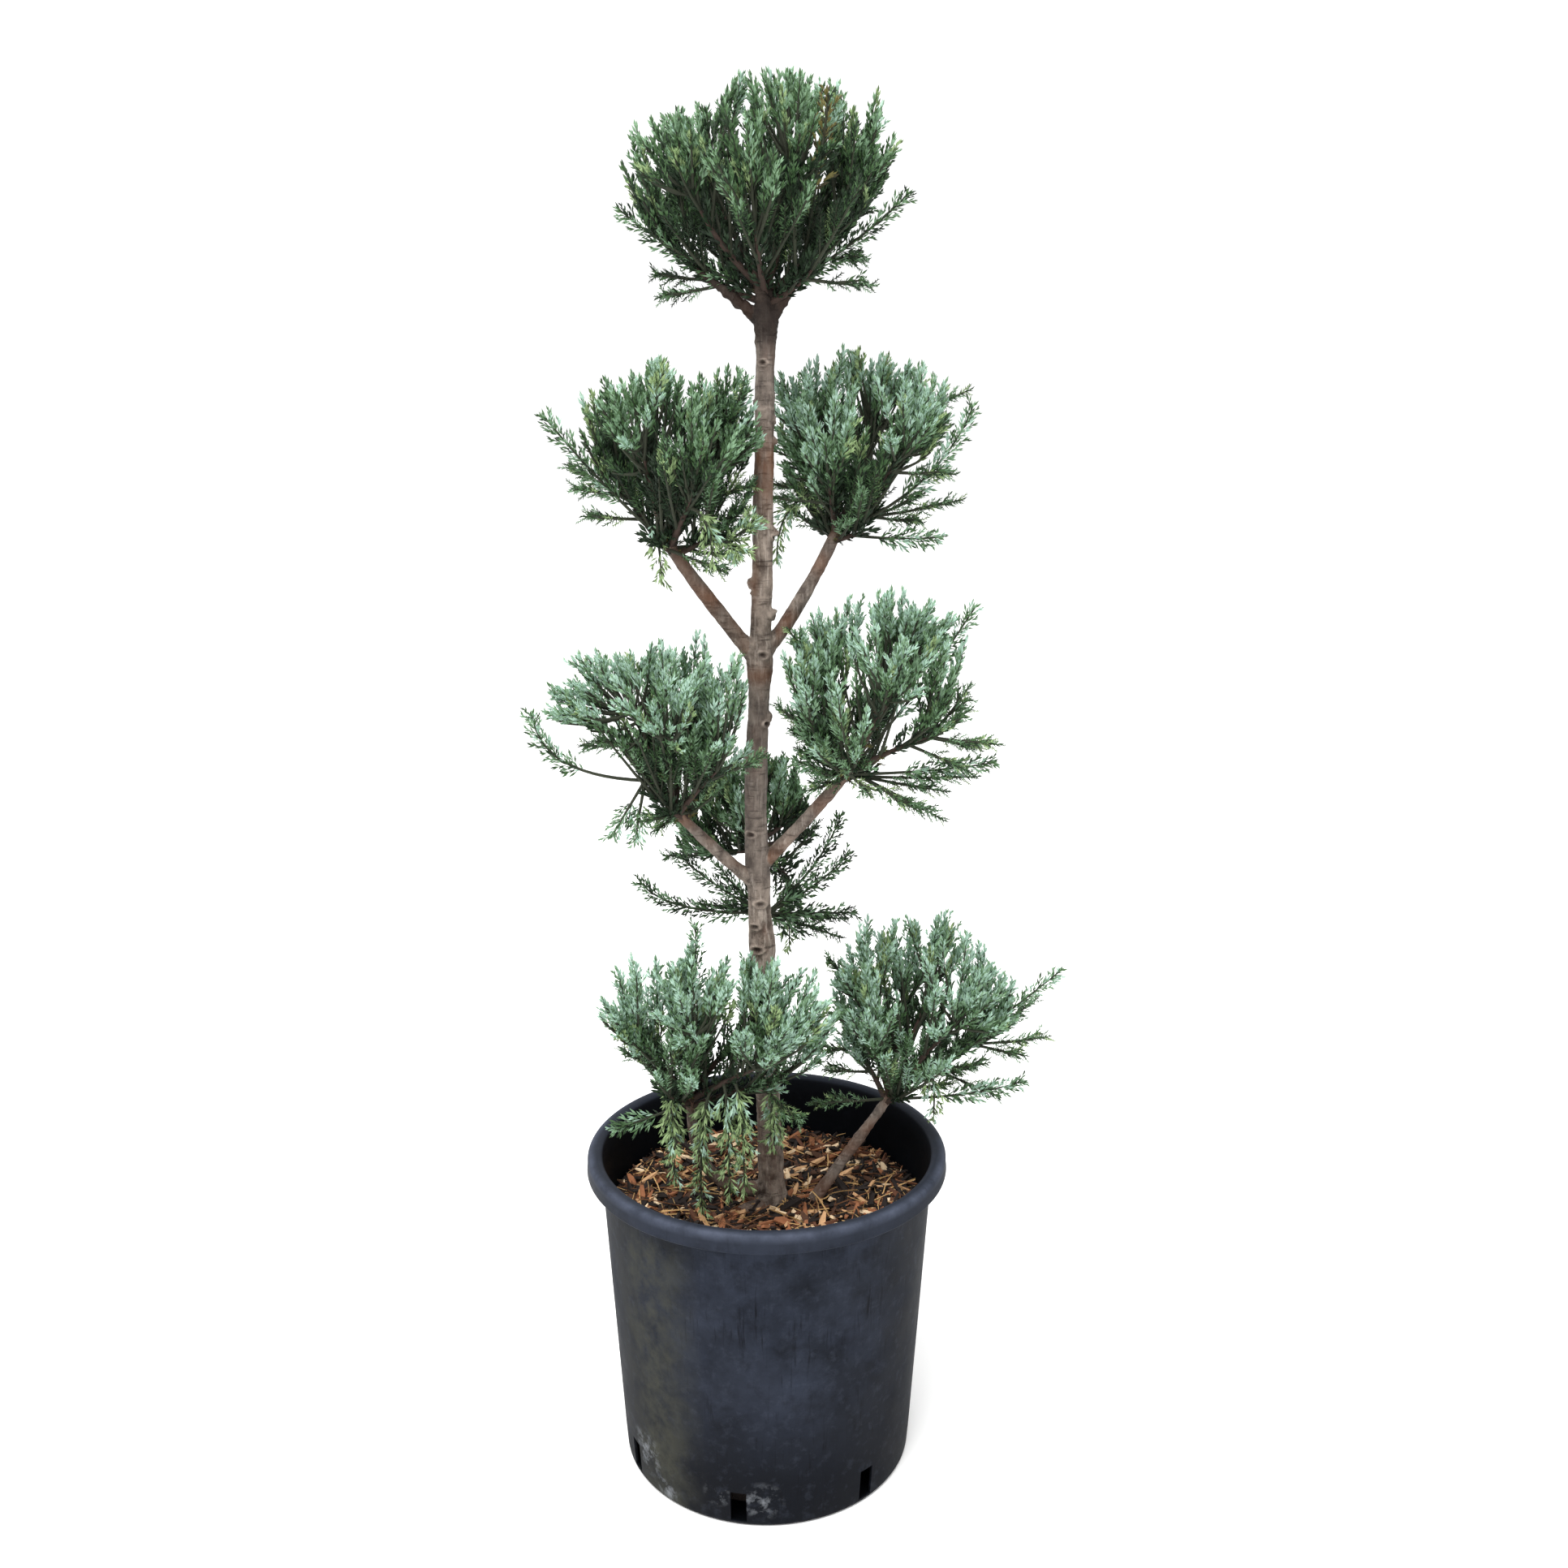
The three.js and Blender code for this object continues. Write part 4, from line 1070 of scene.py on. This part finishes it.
def fits(tuft, point):  # true where the point shows inside the tuft's outline and out of its gaps
    nearer = (tuft["centre"][1] - eye.y) / (point.y - eye.y)
    x = eye.x + (point.x - eye.x) * nearer
    z = eye.z + (point.z - eye.z) * nearer
    inside = False
    outline = tuft["outline"]
    for (ax, az), (bx, bz) in zip(outline, outline[1:] + outline[:1]):
        if (az > z) != (bz > z) and x < ax + (z - az) / (bz - az) * (bx - ax):
            inside = not inside
    return inside and all(math.hypot(x - gx, z - gz) > size for gx, gz, size in tuft["gaps"])


def addTwig(crown, line, thick, tint):
    last = len(line) - 1
    crown["twigs"].append([(p, taper(*thick, i / last), tint) for i, p in enumerate(line)])


def addFeather(crown, root, aim, size, shape, tint, spin):
    if clearOfWood(root + aim * size, 1.5) and clearOfWood(root, 1):
        crown["feathers"].append((root, aim, spin, size, shape, tint))


def addShoot(crown, root, way, length, turn, shape, tint, seed):  # feathered at its sides and its end
    curl = up * length * growth["shootCurl"]
    line = [root + way * length * t + curl * t * t for t in (0, 0.35, 0.7, 0.85)]
    end = min(growth["featherLong"], length)
    if length > end + 2:
        addTwig(crown, line, growth["shootRadius"], greenBark)
    start = root + way * (length - end) + curl * 0.5
    addFeather(crown, start, mixed((way, 1), (up, 0.1)), end, shape, tint, turn)
    count = int((length - 5) / growth["featherGap"])
    for k in range(count):
        t = taper(*growth["featherSpan"], (k + 0.5) / count)
        spot = root + way * length * t + curl * t * t
        out = sideways(way, turn + math.pi * k + 0.8 * (chance(*seed, k, 3) - 0.5))
        aim = mixed((way, 0.85), (out, 0.36), (up, 0.2))
        size = taper(*growth["featherSide"], t) * (0.8 + 0.4 * chance(*seed, k, 4))
        # some side feathers a tone darker than the shoot's tip: painted shade
        darker = tint - 1 if deep < tint <= silver and chance(*seed, k, 5) > 0.6 else tint
        addFeather(crown, spot, aim, size, shape, darker, turn + k)


def growLimb(crown, tuft, i, heart):
    turn = tuft["turn"] + i * goldenAngle
    target = spreadOut(tuft, i, tuft["limbs"], growth["lowestCosine"], turn)
    ends = [heart.lerp(target, growth["limbShare"] * share) for share in (1, 0.75, 0.5, 0.3)]
    end = next((end for end in ends if fits(tuft, end)), ends[-1])
    line = limbLine(heart, end, 8, tuft["bow"], tuft["bow"] - growth["limbRise"])
    thick = min(crown["stemRadius"] * growth["limbRadius"], growth["limbThickest"])
    addTwig(crown, line, (thick, thick * growth["limbTip"]), brownBark)
    crown["limbs"] += line[3:]
    # lower limbs spread their twigs level
    lift = taper(*growth["limbLift"], i / (tuft["limbs"] + growth["skirtLimbs"] - 1))
    for j in range(growth["twigsPerLimb"]):
        along = taper(growth["firstTwig"], growth["lastTwig"], j / (growth["twigsPerLimb"] - 1))
        root, way = onLine(line, along)
        spin = (i * growth["twigsPerLimb"] + j) * goldenAngle
        if chance(tuft["turn"], i, j, 18) < tuft["thin"]:
            continue
        lead = mixed((way, 0.55), (sideways(way, spin), 0.58), (up, lift))
        growTwig(crown, tuft, root, lead, spin, (tuft["turn"], i, j))
    root, way = onLine(line, 0.97)
    growTwig(crown, tuft, root, mixed((way, 0.9), (up, lift * 0.6)), turn, (tuft["turn"], i, 40))
    for k in range(growth["limbFeathers"]):  # old needles low on the woody limb; further up, sprays in the deep tone as painted shade
        along = growth["firstFeather"] + growth["limbFeatherStep"] * k
        root, way = onLine(line, along)
        aim = mixed((way, 0.6), (sideways(way, k * goldenAngle), 0.7))
        if along > tuft["bare"]:
            aim = mixed((aim, 1), (up, 0.7))
            addFeather(crown, root, aim, 16 + 8 * chance(i, k, 9), scalePlume, deep, k)
        elif chance(tuft["turn"], i, k, 8) < growth["needleShare"]:
            addFeather(crown, root, aim, 7 + 5 * chance(i, k, 9), awlPlume, (dry, deep)[k % 2], k)


def growTwig(crown, tuft, root, way, spin, seed, length=0, lift=0.08):  # plume of shoots, shorter to its tip
    free = length > 0
    if not free:
        most = min(reachAlong(tuft, root, way) * (0.78 + 0.24 * chance(*seed, 7)), growth["twigLongest"])
        lengths = [most * share for share in (1, 0.8, 0.6, 0.4) if fits(tuft, root + way * most * share)]
        length = max(lengths, default=0)
    if length < growth["shootShortest"] or not clearOfWood(root + way * length, 2):
        return
    rise = up * length * lift
    line = [root + way * length * t + rise * t * t for t in (0, 0.3, 0.6, 0.86)]
    addTwig(crown, line, growth["twigRadius"], greenBark)
    plume = chance(*seed, 21)
    count = max(2, int(min(length, growth["twigLongest"]) / growth["shootGap"]))
    for k in range(count):
        t = taper(max(0.1, 1 - growth["twigLongest"] / length), 0.92, (k + 0.5) / count)
        spot = root + way * length * t + rise * t * t
        place, outer = placeIn(tuft, spot)
        luck = chance(*seed, k, 10)
        if outer < tuft["heart"]:
            continue
        lead = mixed((way, 0.7), (sideways(way, spin + k * goldenAngle), 0.38), (up, 0.7))
        reach = growth["shootLongest"] if free else reachAlong(tuft, spot, lead) + 3
        long = min(reach, 8 + 0.42 * length * (1 - t), growth["shootLongest"])
        shape = loosePlume if luck > 1 - growth["looseShare"] else scalePlume
        shape = awlPlume if place.z < growth["awlBelow"] else shape
        end = spot + lead * long
        shown = fits(tuft, spot.lerp(end, 0.6 if free else 1))
        if long > growth["shootShortest"] and clearOfWood(end, 2) and shown:
            tint = pickTint(tuft, end, plume, *seed, k)
            addShoot(crown, spot, lead, long, spin + k, shape, tint, (*seed, k))
    end = min(growth["spire"], length * 0.5)
    start = root + way * (length - end) + rise * (1 - end / length) ** 2
    spire = root + way * length + rise - start
    tint = pickTint(tuft, line[-1], plume, *seed, 22)
    addShoot(crown, start, spire.normalized(), spire.length, spin, scalePlume, tint, (*seed, 20))


def limbLine(start, end, steps, out, sag):  # runs outwards and down by its bow, then turns up
    run = end - start
    outward = Vector((run.x, run.y, 0)).normalized()
    bend = start + run * 0.5 + (outward * out - up * sag) * run.length
    return bow(start, bend, end, steps)


def onLine(line, along):
    place = along * (len(line) - 1)
    step = min(int(place), len(line) - 2)
    way = line[step + 1] - line[step]
    return line[step] + way * (place - step), way.normalized()


def growPlume(crown, tuft, tip, lift, spin, seed):  # from the limb that best lies under its tip
    foot = tip - up * (tip - Vector(tuft["centre"])).length * lift
    roots = [p for p in crown["limbs"] if (p - foot).length > growth["plumeShortest"]]
    root = min(roots, key=lambda p: (p - foot).length + 0.7 * (p - foot).xy.length)
    rise = lift * (tip - root).length
    run = tip - root - up * rise
    growTwig(crown, tuft, root, run.normalized(), spin, seed, run.length, rise / run.length)


def growCrown(crown, tuft):  # plumes over the tuft's upper side, then along its outline
    middle, reach = tuft["centre"], tuft["reach"]
    for k in range(tuft["plumes"]):
        turn = tuft["turn"] + 2 + k * goldenAngle
        share = 0.84 + 0.12 * chance(tuft["turn"], k, 15)
        tip = spreadOut(tuft, k, tuft["plumes"], growth["crownLow"], turn, share)
        if fits(tuft, tip):
            growPlume(crown, tuft, tip, growth["crownLift"], turn, (tuft["turn"], k, 30))
    corners = [Vector((x, middle[1], z)) for x, z in tuft["outline"]]
    spires = [corner for corner in corners if corner.z > middle[2]]
    spires += [Vector((x, middle[1] - growth["fillOut"], z)) for x, z in tuft["fills"]]
    for k, tip in enumerate(spires):
        growPlume(crown, tuft, tip, growth["spireLift"], k * goldenAngle, (tuft["turn"], k, 65))
    made = 0
    sides = list(zip(corners, corners[1:] + corners[:1]))
    inwards, backwards = growth["rowDeep"]  # of each row behind the first
    for row, (a, b) in ((row, side) for row in range(tuft["rows"]) for side in sides):
        count = round((b - a).length / growth["edgeGap"])
        for k in range(count):
            made += 1
            edge = a.lerp(b, (k + 0.5) / count)
            inward = (Vector(middle) - edge).normalized()
            notch = growth["edgeNotch"] * chance(tuft["turn"], made, 16) if made % 2 else -2
            tip = edge + inward * (notch + inwards * row)
            tip.y += growth["edgeScatter"] * (chance(tuft["turn"], made, 17) - 0.5) + backwards * row
            if edge.z > middle[2] - growth["edgeLow"] * reach[2]:
                growPlume(crown, tuft, tip, growth["edgeLift"], made * goldenAngle, (tuft["turn"], made, 60))


def growLong(crown, line, leafy, shape, tints, sizes, seed, gap=2.7):  # long shoot, bare up to leafy
    addTwig(crown, line, (growth["strayRadius"], 0.6), greenBark)
    run = sum((b - a).length for a, b in zip(line, line[1:]))
    count = int(run * (1 - leafy) / gap)
    for k in range(count):
        along = taper(leafy, 0.97, k / max(count - 1, 1))
        root, way = onLine(line, along)
        out = sideways(way, goldenAngle * k + 0.6 * (chance(*seed, k, 11) - 0.5))
        size = taper(*sizes, (along - leafy) / (1 - leafy)) * (0.75 + 0.4 * chance(*seed, k, 12))
        tint = tints[int(chance(*seed, k, 13) * len(tints))]
        addFeather(crown, root, mixed((way, 0.82), (out, 0.6)), size, shape, tint, k)
    root, way = onLine(line, 0.999)
    addFeather(crown, root - way * 14, way, 19, shape, tints[0], 0.5)


def growSides(crown, line, side, tints, seed):  # short sprays to the left and right of a long shoot
    for k, along in enumerate(side["places"]):
        root, way = onLine(line, along)
        lead = mixed((way, side["ahead"]), (sideways(way, math.pi * k), 0.5), (up, side["lift"]))
        end = root + lead * (side["long"][0] - side["long"][1] * along)
        spray = [root, root.lerp(end, 0.5), end]
        growLong(crown, spray, 0.2, loosePlume, tints, side["sizes"], (*seed, k, side["salt"]))


def growTuft(tuft):
    foot, top, radius = stemOf(tuft["on"])
    crown = {"twigs": [], "feathers": [], "limbs": [], "stemRadius": radius}
    for i in range(tuft["limbs"] + growth["skirtLimbs"]):
        growLimb(crown, tuft, i, foot.lerp(top, 0.92 - 0.6 * i / tuft["limbs"]))
    growCrown(crown, tuft)
    low = Vector(tuft.get("foot", foot.lerp(top, 0.5)))
    turn, shaded = tuft["turn"], tuft.get("dim")

    def fork(tip):  # limb point that a long shoot to tip leaves from
        spots = [p for p in crown["limbs"] + [low] if (p - tip).length > growth["longShortest"]]
        return min(spots, key=lambda p: (p - tip).length + 1.2 * max(0, p.z - tip.z))

    for i, (*tip, bend) in enumerate(tuft["strays"]):
        line = limbLine(low, Vector(tip), 14, bend, bend * growth["straySag"])
        # darker tints in a dim tuft: painted shade
        tints = (green, deep, blue) if shaded else (blue, green, silver)
        leafy = strayLook["dimLeafy" if shaded else "leafy"]
        growLong(crown, line, leafy, loosePlume, tints, strayLook["sizes"], (turn, i, 50), strayLook["gap"])
    for i, (x, z) in enumerate(tuft["combs"]):
        tip = Vector((x, tuft["centre"][1] + combLook["scatter"] * math.cos(i * goldenAngle), z))
        line = limbLine(fork(tip), tip, 12, combLook["bow"], combLook["sag"])
        # darker tints in a dim tuft: painted shade
        tints = (green, deep, blue) if shaded else (green, blue, fresh, blue)
        growLong(crown, line, combLook["leafy"], awlPlume, tints, combLook["sizes"], (turn, i, 80))
        growSides(crown, line, combSides, tints, (turn, i))
    for i, tip in enumerate(Vector(p) for p in tuft["hanging"]):
        above = Vector((tip.x, tip.y, low.z + growth["hangAbove"]))
        start = min(crown["limbs"] + [low], key=lambda p: (p - above).length)
        line = bow(start, Vector((tip.x, tip.y - growth["hangOut"], start.z)), tip, 14)
        # lighter tints: painted light on sprays hanging in the tuft's shade, over the new growth's own
        # yellow-green
        tints = (fresh, silver, fresh, fresh)
        growLong(crown, line, hangLook["leafy"], loosePlume, tints, hangLook["sizes"], (turn, i, 70))
        if (tip - low).length > hangLook["sidesPast"]:
            growSides(crown, line, hangSides, tints, (turn, i))
    for i, tip in enumerate(Vector(p) for p in tuft.get("dead", [])):
        line = bow(tip - up * growth["dryLong"] - Vector((16, -8, 0)), tip - up * 40, tip, 8)
        growLong(crown, line, dryLook["leafy"], scalePlume, (dry, dry, deep), dryLook["sizes"], (turn, i, 90))
    return crown


def pointCloud(name, crown):  # vertices that carry each feather's aim, spin, size, shape and tint
    roots, aims, spins, sizes, shapes, tints = zip(*crown["feathers"])
    mesh = bpy.data.meshes.new(name)
    mesh.from_pydata([p * mm for p in roots], [], [])
    values = {
        "aim": ("FLOAT_VECTOR", "vector", np.array([tuple(a) for a in aims]).ravel()),
        "spin": ("FLOAT", "value", spins), "size": ("FLOAT", "value", [s * mm for s in sizes]),
        "shape": ("INT", "value", shapes), "tint": ("INT", "value", tints),
    }
    for key, (kind, field, data) in values.items():
        mesh.attributes.new(key, kind, "POINT").data.foreach_set(field, data)
    return newObject(name, mesh)


def edgeLines(name, crown):  # edges that carry each twig's radius and bark
    points, radii, tints = zip(*(spot for line in crown["twigs"] for spot in line))
    edges, start = [], 0
    for line in crown["twigs"]:
        edges += [(start + i, start + i + 1) for i in range(len(line) - 1)]
        start += len(line)
    mesh = bpy.data.meshes.new(name)
    mesh.from_pydata([p * mm for p in points], edges, [])
    mesh.attributes.new("thick", "FLOAT", "POINT").data.foreach_set("value", [r * mm for r in radii])
    mesh.attributes.new("tint", "INT", "POINT").data.foreach_set("value", tints)
    return newObject(name, mesh)


def makeTufts():
    shelf = shapeShelf("feather", [featherShape(kind) for kind in featherShapes])
    leafTree = featherTree([waxyLeaf(*tone) for tone in leafTones])
    woodTree = twigTree([twigBark(*tone) for tone in twigTones])
    for name, tuft in tufts.items():
        crown = growTuft(tuft)
        print(name, len(crown["feathers"]), "feathers on", len(crown["twigs"]), "twigs")
        leaves = pointCloud("leaves_" + name, crown)
        runTree(leaves, leafTree, {"Shapes": shelf, "Spread": 1.0})
        addPiece(leaves, "foliage", "pompon_" + name)
        twigs = edgeLines("twigs_" + name, crown)
        runTree(twigs, woodTree, {"Sides": 5})
        smoothShade(twigs.data, 80)
        addPiece(twigs, "bark", "pompon_" + name)
    clearShelf(shelf)


makeTufts()
print("tufts grown")
